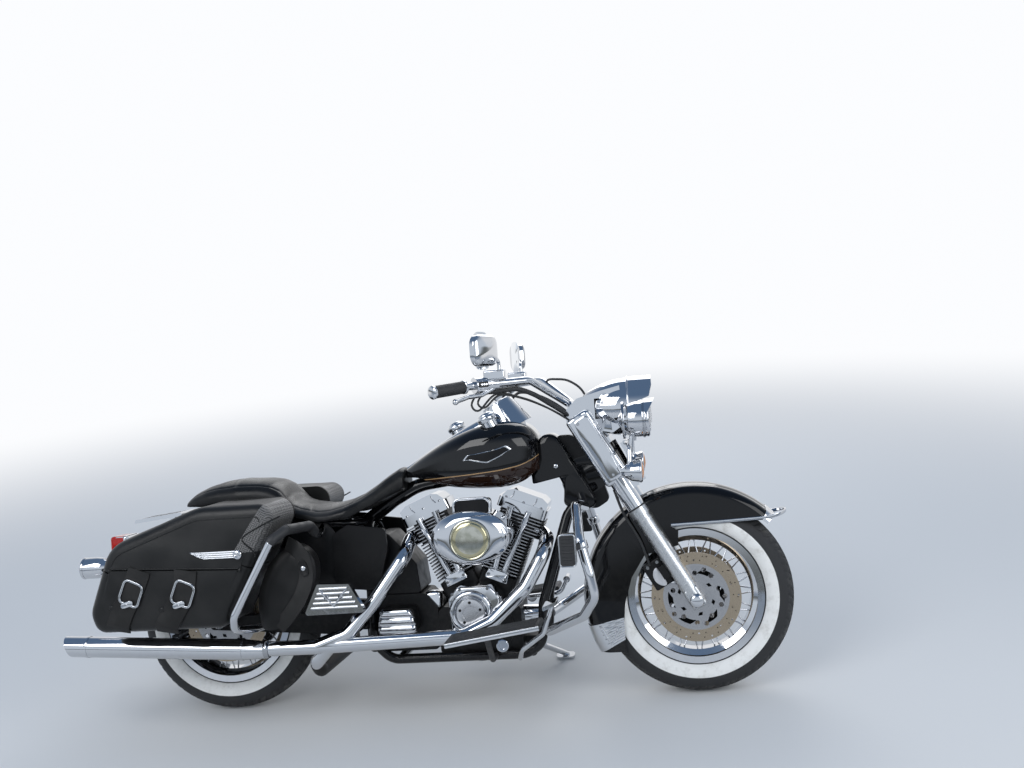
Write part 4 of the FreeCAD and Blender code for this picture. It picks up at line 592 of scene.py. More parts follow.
def fin_metal():
    """Black cylinders whose fins have bright machined edges."""
    material, tree, shader, place = finish("Finned cylinder", Base_Color=(0.02, 0.02, 0.021),
                                           Roughness=0.45)
    split = add(tree, "ShaderNodeSeparateXYZ", [("Vector", place)])
    x = arithmetic(tree, "SUBTRACT", split.outputs["X"], ENGINE_X / 1000)
    x = arithmetic(tree, "ABSOLUTE", x)
    z = arithmetic(tree, "SUBTRACT", split.outputs["Z"], ENGINE_Z / 1000)
    out = arithmetic(tree, "MULTIPLY", x, math.cos(BANK_ANGLE))
    down = arithmetic(tree, "MULTIPLY", z, math.sin(BANK_ANGLE))
    p = arithmetic(tree, "SUBTRACT", out, down)
    side = arithmetic(tree, "ABSOLUTE", split.outputs["Y"])
    rim_side = between(tree, side, 0.0704, 0.0712)
    rim_barrel = arithmetic_between(tree, p, 0.0688, 0.0712, 0.0004)
    rim_head = between(tree, p, 0.0904, 0.0912)
    edge = arithmetic(tree, "MAXIMUM", rim_side, arithmetic(tree, "MAXIMUM", rim_barrel, rim_head))
    tree.links.new(blended(tree, edge, (0.02, 0.02, 0.021), (0.40, 0.40, 0.41)),
                   shader.inputs["Base Color"])
    tree.links.new(edge, shader.inputs["Metallic"])
    tree.links.new(between(tree, edge, 0.0, 1.0, 0.5, 0.22), shader.inputs["Roughness"])
    return material


def from_axle(tree, place):
    """Distance ahead of the nearer axle, above it and straight from it, in metres."""
    split = add(tree, "ShaderNodeSeparateXYZ", [("Vector", place)])
    x = arithmetic(tree, "ABSOLUTE", split.outputs["X"])
    x = arithmetic(tree, "SUBTRACT", x, FRONT_X / 1000)
    z = arithmetic(tree, "SUBTRACT", split.outputs["Z"], AXLE_Z / 1000)
    r = arithmetic(tree, "SQRT", arithmetic(tree, "ADD", arithmetic(tree, "MULTIPLY", x, x),
                                            arithmetic(tree, "MULTIPLY", z, z)))
    return x, z, r


def tyre_rubber():
    """Black rubber with a white band on the wall, grey with dust towards the tread."""
    material, tree, shader, place = finish("Whitewall tyre", Base_Color=(0.02, 0.02, 0.021),
                                           Roughness=0.7)
    r = from_axle(tree, place)[2]
    white = arithmetic_between(tree, r, 0.2265, 0.2675, 0.0006)
    scuff = add(tree, "ShaderNodeTexNoise", [("Vector", place)], Scale=30.0, Detail=8.0,
                Roughness=0.7)
    dirty = between(tree, scuff.outputs["Fac"], 0.45, 0.8)
    wall = blended(tree, dirty, (0.74, 0.73, 0.70), (0.52, 0.50, 0.46))
    tread = between(tree, r, 0.290, 0.312)
    black = blended(tree, arithmetic(tree, "MULTIPLY", tread, dirty), (0.018, 0.018, 0.019),
                    (0.10, 0.095, 0.085))
    tree.links.new(blended(tree, white, black, wall), shader.inputs["Base Color"])
    tree.links.new(between(tree, white, 0.0, 1.0, 0.72, 0.5), shader.inputs["Roughness"])
    bumped(tree, shader, scuff.outputs["Fac"], 0.15, 0.0005)
    return material


def disc_steel():
    """A bronze toned friction ring on a grey carrier, with faint rings from the pads."""
    material, tree, shader, place = finish("Brake disc", Base_Color=(0.4, 0.33, 0.25),
                                           Metallic=1.0, Roughness=0.35)
    x, z, r = from_axle(tree, place)
    ring = between(tree, r, 0.1075, 0.1085)
    lines = add(tree, "ShaderNodeTexNoise", noise_dimensions="1D", Scale=2600.0, Detail=2.0)
    tree.links.new(r, lines.inputs["W"])
    tone = blended(tree, lines.outputs["Fac"], (0.30, 0.24, 0.17), (0.52, 0.44, 0.34))
    tone = blended(tree, ring, (0.42, 0.42, 0.43), tone)
    turn = arithmetic(tree, "ARCTAN2", z, x)
    dark = 0
    for count, low, high, wide, twist in ((18, 0.118, 0.122, 0.07, 0), (18, 0.132, 0.136, 0.06, 3),
                                          (6, 0.076, 0.092, 0.45, 14), (6, 0.052, 0.062, 0.22, 8)):
        angle = arithmetic(tree, "ADD", turn, arithmetic(tree, "MULTIPLY", r, twist))
        beat = arithmetic(tree, "FRACT", arithmetic(tree, "MULTIPLY", angle,
                                                    count / (2 * math.pi)))
        hole = arithmetic(tree, "MULTIPLY", arithmetic(tree, "LESS_THAN", beat, wide),
                          arithmetic_between(tree, r, low, high, 0.0005))
        dark = arithmetic(tree, "MAXIMUM", dark, hole)
    tree.links.new(blended(tree, dark, tone, (0.004, 0.004, 0.004)), shader.inputs["Base Color"])
    tree.links.new(between(tree, lines.outputs["Fac"], 0.2, 0.8, 0.25, 0.42),
                   shader.inputs["Roughness"])
    return material


def lamp_glass(name, tint, weight=0.9):
    return finish(name, Base_Color=tint, Roughness=0.04, Transmission_Weight=weight, IOR=1.45)[0]


TANK_PAINT = tank_paint()
FINS = fin_metal()
TYRE = tyre_rubber()
DISC = disc_steel()
GLASS = lamp_glass("Lamp glass", (0.95, 0.96, 0.97))
RED_GLASS = lamp_glass("Red lens", (0.55, 0.02, 0.015), 0.35)
AMBER_GLASS = lamp_glass("Amber lens", (0.9, 0.32, 0.04), 0.4)
CASTING = satin_black("Black casting", (0.006, 0.006, 0.0065), 0.45)


def pipe_chrome():
    """Bright pipes whose crossover under the frame is bare dark steel."""
    material, tree, shader, place = finish("Header pipes", Metallic=1.0)
    split = add(tree, "ShaderNodeSeparateXYZ", [("Vector", place)])
    side = arithmetic(tree, "ABSOLUTE", split.outputs["Y"])
    bare = arithmetic(tree, "MULTIPLY", between(tree, side, 0.246, 0.250, 1.0, 0.0),
                      between(tree, split.outputs["X"], -0.372, -0.368, 1.0, 0.0))
    marks = placed(tree, MARKS, Place=place, Low=0.03, High=0.1)
    tree.links.new(blended(tree, bare, (0.64, 0.65, 0.67), (0.02, 0.019, 0.018)),
                   shader.inputs["Base Color"])
    rough = arithmetic(tree, "MAXIMUM", marks.outputs["Roughness"],
                       arithmetic(tree, "MULTIPLY", bare, 0.5))
    tree.links.new(rough, shader.inputs["Roughness"])
    return material


PIPES = pipe_chrome()
SILVER = finish("Silver paint", Base_Color=(0.6, 0.6, 0.61), Metallic=0.3, Roughness=0.4)[0]
PAINTS = (
    (BLACK, "frame rear_fender front_fender"),
    (SATIN, "swingarm rear_shocks side_covers rear_caliper front_calipers rear_pulley"),
    (ALLOY, "rear_axle fork_sliders"),
    (CHROME, "rear_lamps luggage_rack rocker_boxes pushrod_tubes gearcase_cover air_cleaner "
             "primary_cover mufflers tank_console bag_guards engine_guard passenger_boards "
             "foot_controls side_stand fork_tubes headlamp_nacelle auxiliary_lamps handlebar "
             "hand_controls mirrors front_axle front_rim rear_rim"),
    (CASTING, "crankcase gearbox"),
    (FINS, "cylinders"),
    (RUBBER, "drive_belt highway_pegs rider_boards grips"),
    (PIPES, "header_pipes"),
    (TANK_PAINT, "fuel_tank"),
    (LEATHER, "seat bag_right bag_left lid_right lid_left guard_pouches"),
    (GLASS, "headlamp"),
    (TYRE, "front_tyre rear_tyre"),
    (DISC, "front_discs rear_disc"),
)


def dress(name, material):
    """A CAD node's finish, with its loose facets joined in shading, not in its own points."""
    node = NODES[name]
    for slot in node.material_slots:
        slot.material = material
    if not node.material_slots:
        node.data.materials.append(material)
    for label in ("custom_normal", "sharp_face", "sharp_edge"):
        if label in node.data.attributes:
            node.data.attributes.remove(node.data.attributes[label])
    node.data.polygons.foreach_set("use_smooth", np.full(len(node.data.polygons), True))
    weld = node.modifiers.new("joined facets", "WELD")
    weld.merge_threshold = 0.00002
    split = node.modifiers.new("creases", "EDGE_SPLIT")
    split.split_angle = math.radians(32)


for material_of, node_names in PAINTS:
    for node_name in node_names.split():
        dress(node_name, material_of)


# Tyres


def arc_through(a, b, c, count):
    """Points of the circle through a, b and c, from a to c by way of b."""
    a, b, c = (np.asarray(q, float) for q in (a, b, c))
    d = 2 * (a[0] * (b[1] - c[1]) + b[0] * (c[1] - a[1]) + c[0] * (a[1] - b[1]))
    ux = ((a @ a) * (b[1] - c[1]) + (b @ b) * (c[1] - a[1]) + (c @ c) * (a[1] - b[1])) / d
    uy = ((a @ a) * (c[0] - b[0]) + (b @ b) * (a[0] - c[0]) + (c @ c) * (b[0] - a[0])) / d
    centre = np.array([ux, uy])
    start = math.atan2(*(a - centre)[::-1])
    turn_b = (math.atan2(*(b - centre)[::-1]) - start) % (2 * math.pi)
    turn_c = (math.atan2(*(c - centre)[::-1]) - start) % (2 * math.pi)
    if turn_b > turn_c:
        turn_c -= 2 * math.pi
    t = start + np.linspace(0, turn_c, count)
    return centre + np.linalg.norm(a - centre) * np.stack([np.cos(t), np.sin(t)], -1)


def tyre(name, x, node, body):
    """A tyre: its section (y, r) turned about the axle, with the tread cut into it.

    r = r0(v) - depth * groove(angle, y); the white band stands 0.8 mm proud.
    """
    side = arc_through((46.7, 225), (64, 257), (57, 292), 22)
    crown = arc_through((57, 292), (0, 320), (-57, 292), 64)
    foot = np.array([(46.7, 204.6), (46.7, 212)])
    right = np.concatenate([foot, side[:-1]])
    left = (right * [-1, 1])[::-1]
    section = np.concatenate([right, crown, left[1:], [(0, 205.2)], [(46.7, 204.6)]])
    turn = np.linspace(0, 2 * np.pi, 601)
    y = section[None, :, 0]
    r = section[None, :, 1]
    a = turn[:, None]
    band = 1 / (1 + np.exp(-(r - 226.5) * 3)) * (1 - 1 / (1 + np.exp(-(r - 267.5) * 3)))
    y = y + np.sign(y) * 0.8 * band
    zig = np.abs(((a * 46 / (2 * np.pi)) % 1) * 2 - 1) * 6 - 3
    centre_cut = np.exp(-((np.abs(y) - 17 - zig) / 2.6)**4)
    slant = ((a * 72 / (2 * np.pi)) + np.abs(y) / 46 + 0.25 * (y > 0)) % 1
    sipes = np.exp(-((slant - 0.5) / 0.17)**4) * (np.abs(y) > 25) * (np.abs(y) < 52) * (r > 288)
    cut = np.maximum(centre_cut, sipes) * (r > 286)
    r = r - 4.0 * cut
    grid = np.stack([x + r * np.sin(a), y + 0 * a, AXLE_Z + r * np.cos(a)], -1)
    piece = skin(name, grid, body, TYRE)
    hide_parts(node)


tyre("front_tyre_tread", FRONT_X, "front_tyre", "front_wheel")
tyre("rear_tyre_tread", REAR_X, "rear_tyre", "rear_wheel")


# Saddle


def along(x, pairs):
    """A smooth value along x through (x, value) pairs, by averaging straight steps."""
    p = np.asarray(sorted(pairs), float)
    fine = np.linspace(p[0, 0] - 40, p[-1, 0] + 40, 800)
    step = np.interp(fine, p[:, 0], p[:, 1])
    window = np.hanning(25)
    padded = np.pad(step, 12, mode="edge")
    return np.interp(x, fine, np.convolve(padded, window / window.sum(), mode="valid"))


def saddle():
    """The two-up saddle: at each x an oval section, wider below, with a hollow underside.

    Its seams are shallow grooves: one round the edge of the top, one at the step,
    and two across the rider's part.
    """
    x = np.concatenate([np.linspace(-139.6, -150, 6), np.linspace(-154, -905, 150),
                        np.linspace(-908, -918, 6)])[:, None]
    w = along(x, [(-139, 70), (-165, 84), (-240, 128), (-330, 166), (-430, 168), (-500, 148),
                  (-560, 134), (-620, 136), (-720, 132), (-830, 119), (-890, 105), (-918, 92)])
    top = along(x, [(-139, 798), (-160, 805), (-200, 781), (-240, 753), (-290, 724), (-340, 705),
                    (-390, 694), (-430, 693), (-490, 703), (-525, 716), (-548, 742), (-570, 772),
                    (-600, 788), (-640, 795), (-720, 799), (-790, 793), (-840, 781), (-885, 762),
                    (-918, 738)])
    low = along(x, [(-139, 730), (-240, 682), (-320, 644), (-440, 641), (-520, 660), (-560, 690),
                    (-620, 701), (-720, 705), (-830, 709), (-918, 716)])
    end = np.minimum((-139.2 - x) / 9, (x + 918.5) / 12)
    end = np.sqrt(1 - (1 - np.clip(end, 0, 1))**2)
    t = np.linspace(0, 2 * np.pi, 121)[None, :]
    c = np.cos(t)
    s = np.sin(t)
    y = w * np.sign(c) * np.abs(c)**0.72
    middle = low + (top - low) * 0.42
    reach = np.abs(y) / w
    crown = top - (top - middle) * (1 - np.abs(s)**0.62)
    crown = crown - 9 * reach**2 * (s > 0)
    pan = np.where((x < -262) & (x > -566), np.maximum(low, 667.5), low)
    under = low + (pan - low) / (1 + np.exp((np.abs(y) - 138) / 2.5))
    under = under + (middle - under) * (1 - np.abs(s)**0.35)
    z = np.where(s >= 0, crown, under)
    seam = 2.6 * np.exp(-((reach - 0.80) / 0.02)**2) * (s > 0)
    step = 4.0 * np.exp(-((x + 548 - 14 * reach**2) / 4.5)**2) * (s > 0.1)
    front = 2.4 * np.exp(-((x + 292 + 34 * reach**2) / 3.5)**2) * (s > 0.1) * (reach < 0.8)
    rear = 2.2 * np.exp(-((x + 470 - 30 * reach**2) / 3.5)**2) * (s > 0.1) * (reach < 0.8)
    wide = 2.2 * np.exp(-((x + 742 - 26 * reach**2) / 3.5)**2) * (s > 0.1) * (reach < 0.8)
    z = z - seam - step - front - rear - wide
    z = z + 1.2 * np.sin(x / 37) * np.sin(y / 41 + x / 90) * (s > 0)
    middle_z = (top + low) / 2
    y = y * end
    z = middle_z + (z - middle_z) * end
    grid = np.stack([x + 0 * t, y, z], -1)
    first = np.repeat(grid[:1].mean(1, keepdims=True), 121, 1)
    last = np.repeat(grid[-1:].mean(1, keepdims=True), 121, 1)
    grid = np.concatenate([first, grid, last])
    piece = skin("saddle", grid, "chassis", SEAT_LEATHER)
    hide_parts("seat")


SEAT_LEATHER = black_leather("Saddle leather", (0.008, 0.008, 0.008), 300.0, 0.16, 0.32)
saddle()


# Bags

BAG_IN = 198.0
BAG_OUT = 420.0
BULGE = 7.0
SEAM_REAR = np.array([-1160.0, 563.0])
SEAM_FRONT = np.array([-400.0, 530.0])
BAG_OUTLINE = [(-1124, 420, 70), (-1100, 355, 45), (-668, 355, 45), (-455, 742, 50),
               (-740, 742, 160), (-1045, 632, 110)]


def bag_line():
    """The bag's side view as an even line of points, from the seam's rear end upwards and round."""
    pts = []
    count = len(BAG_OUTLINE)
    for n in range(count):
        a = np.array(BAG_OUTLINE[n - 1][:2], float)
        b = np.array(BAG_OUTLINE[n][:2], float)
        c = np.array(BAG_OUTLINE[(n + 1) % count][:2], float)
        line = bent_line(np.array([[a[0], 0, a[1]], [b[0], 0, b[1]], [c[0], 0, c[1]]]),
                         BAG_OUTLINE[n][2], 24)
        pts.append(line[1:-1, [0, 2]])
    p = np.concatenate(pts + [pts[0][:1]])
    step = np.concatenate([[0], np.cumsum(np.linalg.norm(np.diff(p, axis=0), axis=1))])
    at = np.linspace(0, step[-1], 1441)
    return np.stack([np.interp(at, step, p[:, 0]), np.interp(at, step, p[:, 1])], -1)[:-1]


def seam_height(x, lift=0.0):
    f = (np.asarray(x) - SEAM_REAR[0]) / (SEAM_FRONT[0] - SEAM_REAR[0])
    return SEAM_REAR[1] + f * (SEAM_FRONT[1] - SEAM_REAR[1]) + lift


def part_of_line(above, gap):
    """The stretch of the bag's outline over or under the seam, rear to front."""
    p = bag_line()
    keep = p[:, 1] > seam_height(p[:, 0], gap) if above else p[:, 1] < seam_height(p[:, 0], gap)
    start = np.flatnonzero(keep & ~np.roll(keep, 1))[0]
    p = np.roll(p, -start, axis=0)
    keep = np.roll(keep, -start)
    p = p[keep]
    if p[0, 0] > p[-1, 0]:
        p = p[::-1]
    return p


def bag_shell(above):
    """Half of a bag as rows from its back edge, over the rim, to the seam.

    The rim is a quarter circle of 34 mm, and the face swells by BULGE in the
    middle and sags a little towards its foot.
    """
    gap = 3.0 if above else 0.0
    p = part_of_line(above, gap)
    pick = np.linspace(0, len(p) - 1, 150).astype(int)
    p = p[pick]
    p[0, 1] = seam_height(p[0, 0], gap)
    p[-1, 1] = seam_height(p[-1, 0], gap)
    tangent = unit(np.gradient(p, axis=0))
    inward = np.stack([tangent[:, 1], -tangent[:, 0]], -1) * (1 if above else -1)
    middle = np.array([-800.0, 550.0])
    inward = np.where(((middle - p) * inward).sum(1, keepdims=True) > 0, inward, -inward)
    r = 34.0
    rows = []
    back = BAG_IN + (5.6 if above else 0.0)
    for depth in np.linspace(back, BAG_OUT - r, 14):
        wave = 1.4 * np.sin(p[:, 0] / 46.0 + depth / 60.0)
        q = p + inward * (1.5 + wave)[:, None]
        rows.append(np.stack([q[:, 0], np.full(len(p), -depth), q[:, 1]], -1))
    for a in np.linspace(0, np.pi / 2, 10)[1:]:
        q = p + inward * (1.5 + r * (1 - np.cos(a)))
        depth = BAG_OUT - r + r * np.sin(a)
        rows.append(np.stack([q[:, 0], np.full(len(p), -depth), q[:, 1]], -1))
    rim = p + inward * (1.5 + r)
    span = np.linspace(0, 1, len(p))
    seam_x = rim[0, 0] + (rim[-1, 0] - rim[0, 0]) * span
    target = np.stack([seam_x, seam_height(seam_x, gap)], -1)
    for f in np.linspace(0, 1, 34)[1:]:
        q = rim + (target - rim) * f
        middle_x = np.clip((q[:, 0] + 1120) / 640, 0, 1)
        swell = BULGE * np.sin(np.pi * np.clip(f * 0.62, 0, 1)) * np.sin(np.pi * middle_x)**0.6
        soft = 1.6 * np.sin(q[:, 0] / 58 + q[:, 1] / 37) * np.sin(np.pi * f * 0.9)
        rows.append(np.stack([q[:, 0], -(BAG_OUT + swell + soft), q[:, 1]], -1))
    grid = np.array(rows)
    turned_in = grid[-1:].copy()
    turned_in[..., 1] += 9
    turned_in[..., 2] += 1.0 if above else -1.0
    return np.concatenate([grid, turned_in])


def bag_piece(name, above, node, body, side, finish):
    """A lid, or a body with its tall back panel, drawn as the outline shrunk to a point."""
    grid = bag_shell(above)
    grid[..., 1] *= -side
    grids = [grid]
    if not above:
        flat = bag_line()[::6]
        flat = np.concatenate([flat, flat[:1]])
        grids.append(raised(flat, [(1.0, 0.0), (0.5, 0.0), (0.0, 0.0)], (0, side * BAG_IN, 0),
                            (1, 0, 0), (0, 0, 1)))
    piece = skin(name, grids, body, finish, wall=-4.0)
    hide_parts(node)


def basket_weave():
    """Strips over and under: two sets of ridges that take turns on a slanted check."""
    tree, start, end = group("Basket weave", [("NodeSocketVector", "Place", None),
                                              ("NodeSocketFloat", "Pitch", 0.012)],
                             [("NodeSocketFloat", "Height")])
    turn = add(tree, "ShaderNodeVectorRotate", [("Vector", start.outputs["Place"])],
               rotation_type="Y_AXIS", Angle=1.065)
    split = add(tree, "ShaderNodeSeparateXYZ", [("Vector", turn.outputs[0])])
    over = arithmetic(tree, "ADD", split.outputs["Y"], split.outputs["Z"])
    bars = []
    for along in (split.outputs["X"], over):
        cell = arithmetic(tree, "DIVIDE", along, start.outputs["Pitch"])
        wave = arithmetic(tree, "SINE", arithmetic(tree, "MULTIPLY", cell, 2 * math.pi))
        odd = arithmetic(tree, "GREATER_THAN", arithmetic(tree, "SINE", arithmetic(
            tree, "MULTIPLY", cell, math.pi)), 0.0)
        bars.append((arithmetic(tree, "ABSOLUTE", wave), odd))
    check = arithmetic(tree, "ABSOLUTE", arithmetic(tree, "SUBTRACT", bars[0][1], bars[1][1]))
    first = arithmetic(tree, "MULTIPLY", check, bars[0][0])
    second = arithmetic(tree, "MULTIPLY", arithmetic(tree, "SUBTRACT", 1.0, check), bars[1][0])
    tree.links.new(arithmetic(tree, "ADD", first, second), end.inputs["Height"])
    return tree


def bag_leather(name, woven):
    """Smooth black hide; on the lid its front upper corner is a woven panel, with a painted
    highlight on the weave's ridges and painted shade in its hollows.
    """
    material, tree, shader, place = finish(name, Base_Color=(0.014, 0.0135, 0.013),
                                           Roughness=0.34, Specular_IOR_Level=0.32)
    grain = placed(tree, GRAIN, Place=place, Scale=300.0, Creases=0.2)
    split = add(tree, "ShaderNodeSeparateXYZ", [("Vector", place)])
    tone = between(tree, grain.outputs["Shade"], 0.35, 0.75)
    colour = blended(tree, tone, (0.008, 0.0078, 0.0075), (0.015, 0.0145, 0.014))
    rough = between(tree, grain.outputs["Shade"], 0.3, 0.7, 0.28, 0.44)
    height = arithmetic(tree, "MULTIPLY", grain.outputs["Height"], 0.35)
    if woven:
        slant = arithmetic(tree, "MULTIPLY", split.outputs["X"], 1.4375)
        slant = arithmetic(tree, "SUBTRACT", slant, split.outputs["Z"])
        panel = arithmetic(tree, "MULTIPLY", between(tree, slant, -1.488, -1.485),
                           between(tree, split.outputs["Z"], 0.592, 0.594))
        weave = placed(tree, WEAVE, Place=place)
        height = arithmetic(tree, "ADD", height, arithmetic(
            tree, "MULTIPLY", arithmetic(tree, "MULTIPLY", weave.outputs["Height"], panel), 6.0))
        # Painted highlight: the weave's raised strips are coloured lighter by their height, so its
        # hollows stay dark as painted shade.
        weave_ridge_highlight = arithmetic(tree, "MULTIPLY", panel, weave.outputs["Height"])
        colour = blended(tree, weave_ridge_highlight, colour, (0.16, 0.155, 0.15))
    tree.links.new(colour, shader.inputs["Base Color"])
    tree.links.new(rough, shader.inputs["Roughness"])
    bumped(tree, shader, height, 0.35, 0.0008)
    return material


WEAVE = basket_weave()
LID_LEATHER = bag_leather("Lid leather", True)
BAG_LEATHER = bag_leather("Bag leather", False)
for label, side in (("right", -1), ("left", 1)):
    bag_piece("bag_lid_" + label, True, "lid_" + label, "lid_" + label, side, LID_LEATHER)
    bag_piece("bag_body_" + label, False, "bag_" + label, "chassis", side, BAG_LEATHER)


# Bag fittings

LID_FORM = bag_shell(True)[23:-1]
BODY_FORM = bag_shell(False)[23:-1]


def on_bag(points, above, lift=0.0):
    """Side view points laid on the nearest place of a bag's outer face, lifted off it."""
    form = (LID_FORM if above else BODY_FORM).reshape(-1, 3)
    p = np.asarray(points, float)
    gap = ((form[None, :, [0, 2]] - p[:, None])**2).sum(-1)
    y = form[gap.argmin(1), 1]
    y = np.convolve(np.pad(y, 2, mode="edge"), np.full(5, 0.2), mode="valid")
    return np.stack([p[:, 0], y - lift, p[:, 1]], -1)


def flat_line(points, count):
    p = np.asarray(points, float)
    line = smooth_line(np.stack([p[:, 0], 0 * p[:, 0], p[:, 1]], -1), count)
    return line[:, [0, 2]]


def both_lids(name, grids, finish):
    """The same piece on each lid, riding with that lid."""
    for label, turn in (("right", 1), ("left", -1)):
        turned = [grid * np.array([1, turn, 1]) for grid in grids]
        skin(name + "_" + label, turned, "lid_" + label, finish)


PIPING = satin_black("Piping", (0.012, 0.012, 0.012), 0.3)
crease = LID_FORM[0][4:-26:3]
corner = on_bag(flat_line([(-470, 697), (-500, 684), (-540, 666), (-575, 648), (-588, 634),
                           (-578, 618), (-560, 600), (-548, 578)], 40), True, 0.4)
corner[:6, 1] += np.linspace(22, 0, 6)
foot_line = LID_FORM[-1][2:-2:3]
both_lids("bag_piping", [carried(crease, circle(1.6, 10)), carried(corner, circle(2.4, 10)),
                         carried(foot_line + [0, -0.6, 3], circle(2.2, 10))], PIPING)


def wing_trim():
    """A pointed plate with four lengthwise ribs and a round boss at its front.

    height = plate + 3.4 |sin(4 pi v)| * taper(u), its rear corner drawn to a point.
    """
    u = np.linspace(0, 1, 40)[:, None]
    v = np.linspace(0, 1, 61)[None, :]
    top = np.array([-763.0, 603.0]) + u[..., None] * np.array([163.0, -0.5])
    low = np.array([-763.0, 602.0]) + u[..., None] * np.array([158.0, -25.0])
    low = low + np.stack([np.zeros_like(u), -24 * np.minimum(u / 0.3, 1) * (1 - u)], -1)
    side = top * (1 - v[..., None]) + low * v[..., None]
    place = on_bag(side.reshape(-1, 2), True).reshape(40, 61, 3)
    ridge = 3.4 * np.abs(np.sin(4 * np.pi * v)) * np.minimum(u / 0.15, 1)
    rim = np.minimum(np.minimum(v, 1 - v) * 30, np.minimum(u, 1 - u) * 40)
    place[..., 1] = LID_FACE_Y - (2.0 + ridge) * np.clip(rim, 0, 1)
    boss = revolved([(0, 14), (4, 14), (6.5, 11.5), (7.0, 8), (5, 6), (5, 0)],
                    (-606, LID_FACE_Y, 588), (0, -1, 0), 40)
    return [place, boss]


LID_FACE_Y = float(on_bag([(-690, 590)] * 6, True)[0, 1])
both_lids("wing_trim", wing_trim(), CHROME)


def strap(points, width, name, tuck):
    """A strap: a thin flat section carried down the bag's face, then under it."""
    line = on_bag(flat_line(points, 40), False, 3.0)
    tail = line[-1:] + np.array(tuck, float)
    line = np.concatenate([line, tail])
    section = rounded([(-width / 2, -2.2), (width / 2, -2.2), (width / 2, 2.2),
                       (-width / 2, 2.2)], 1.6, 3)
    skin(name, carried(line, section, up=(0, -1, 0)), "chassis", STRAP_LEATHER, mirror=True)


def buckle(centre, name):
    """A square ring with round corners, an inner step, and a tongue plate with its screw."""
    tilt = math.radians(-20)
    c, s = math.cos(tilt), math.sin(tilt)
    turn = np.array([[c, -s], [s, c]])
    ring = rounded([(-34, -36), (32, -38), (34, 34), (-30, 38)], [20, 14, 20, 16], 8) @ turn.T
    at = on_bag([centre] * 6, False, 8.0)[0]
    line = np.stack([at[0] + ring[:, 0], np.full(len(ring), at[1]), at[2] + ring[:, 1]], -1)
    band = rounded([(-4.6, -2.5), (4.6, -2.5), (3.2, 2.8), (-3.2, 2.8)], 1.6, 4)
    ahead = unit(np.gradient(line, axis=0))
    ahead[0] = ahead[-1] = unit(line[1] - line[-2])
    out = np.array([0.0, -1.0, 0.0])
    side = unit(np.cross(ahead, out))
    rows = line[:, None] + band[None, :, :1] * side[:, None] + band[None, :, 1:] * out
    corner_at = at + np.array([-14.0, -2.0, -34.0])
    plate = raised(oval(21, 9, 3.0, 40) @ np.array([[0.96, 0.28], [-0.28, 0.96]]),
                   [(1.0, 0.0), (0.96, 2.4), (0.8, 3.0), (0.0, 3.2)], corner_at, (1, 0, 0),
                   (0, 0, 1), (0, 0))
    screw = revolved([(0, 4.2), (2.4, 4.2), (3.4, 3.2), (3.6, 0)], corner_at + [-2, -2.8, 0],
                     (0, -1, 0), 24)
    skin(name, [rows, plate, screw], "chassis", CHROME, mirror=True)


STRAP_LEATHER = black_leather("Strap leather", (0.012, 0.0115, 0.011), 380.0, 0.2, 0.4)
straps = (("rear", (-932, 556), (-942, 530), (-965, 483), (-996, 430), (-1018, 384)),
          ("front", (-778, 548), (-783, 515), (-793, 474), (-826, 420), (-856, 374)))
for label, *route in straps:
    strap(route, 74.0, "strap_" + label, (-4, 18, -22))
    buckle((route[2][0] + 2, route[2][1] + 2), "buckle_" + label)
snaps = [revolved([(0, 9), (3, 9), (5.5, 7), (7, 3.5), (7.2, 0)],
                  on_bag([at] * 6, False, -0.5)[0], (0, -1, 0), 28)
         for at in ((-1034, 441), (-866, 428))]
skin("bag_snaps", snaps, "chassis", PIPING, mirror=True)


# Guard rails and pouches

def guard_sleeves():
    """Black sleeves over the upper run of each bag guard."""
    upper = bent_line([(-421, -215, 622), (-424, -250, 646), (-458, -390, 652),
                       (-488, -429, 629), (-497, -432, 618)], 34)
    skin("guard_bumper", carried(smooth_line(upper, 60), circle(16.5, 28)), "chassis", RUBBER,
         mirror=True)


def pouch():
    """A soft pouch hung behind the guard: its side view swollen, with a broad band on it.

    depth = 22 (1 - q^4) for q from the middle to the edge, plus slow creases.
    """
    outline = rounded([(-440, 606), (-384, 560), (-382, 480), (-440, 388), (-506, 334),
                       (-572, 328), (-584, 440), (-528, 560)], [40, 40, 50, 60, 40, 30, 60, 60], 10)
    middle = outline[:-1].mean(0)
    rows = []
    for q in np.linspace(1, 0, 22):
        line = middle + (outline - middle) * q
        wave = 1.6 * np.sin(line[:, 0] / 19 + line[:, 1] / 27) * (1 - q)
        rows.append(np.stack([line[:, 0], -346 - 22 * (1 - q**4) + wave, line[:, 1]], -1))
    edge_rows = [np.stack([outline[:, 0], np.full(len(outline), y), outline[:, 1]], -1)
                 for y in (-296, -310, -330)]
    rear = np.repeat(np.array([[[middle[0], -300, middle[1]]]]), len(outline), 1)
    grid = np.concatenate([rear, edge_rows, rows])
    piece = skin("pouch", grid, "chassis", LEATHER, mirror=True)
    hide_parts("guard_pouches")
    route = np.array([(-470, -352, 604), (-438, -368, 590), (-412, -374, 556), (-406, -375, 500),
                      (-428, -374, 440), (-470, -368, 384), (-516, -352, 340)], float)
    band = oblong(23, 2, 1.8, 3)
    skin("pouch_band", carried(smooth_line(route, 60), band, up=(0, -1, 0)), "chassis",
         STRAP_LEATHER, mirror=True)
    patch = raised(oval(15, 27, 2.6, 48), [(1.0, 0.0), (0.96, 2.2), (0.86, 2.6), (0.8, 1.6),
                                          (0.0, 1.8)],
                   (-412, -378.5, 528), (0.96, 0, 0.28), (-0.28, 0, 0.96), (0, 0))
    boss = revolved([(0, 7.5), (2.5, 7.5), (4.5, 5), (5, 0)], (-412, -380, 528), (0, -1, 0), 28)
    skin("pouch_patch", patch, "chassis", LEATHER, mirror=True)
    skin("pouch_boss", boss, "chassis", CHROME, mirror=True)


guard_sleeves()
pouch()


# Engine


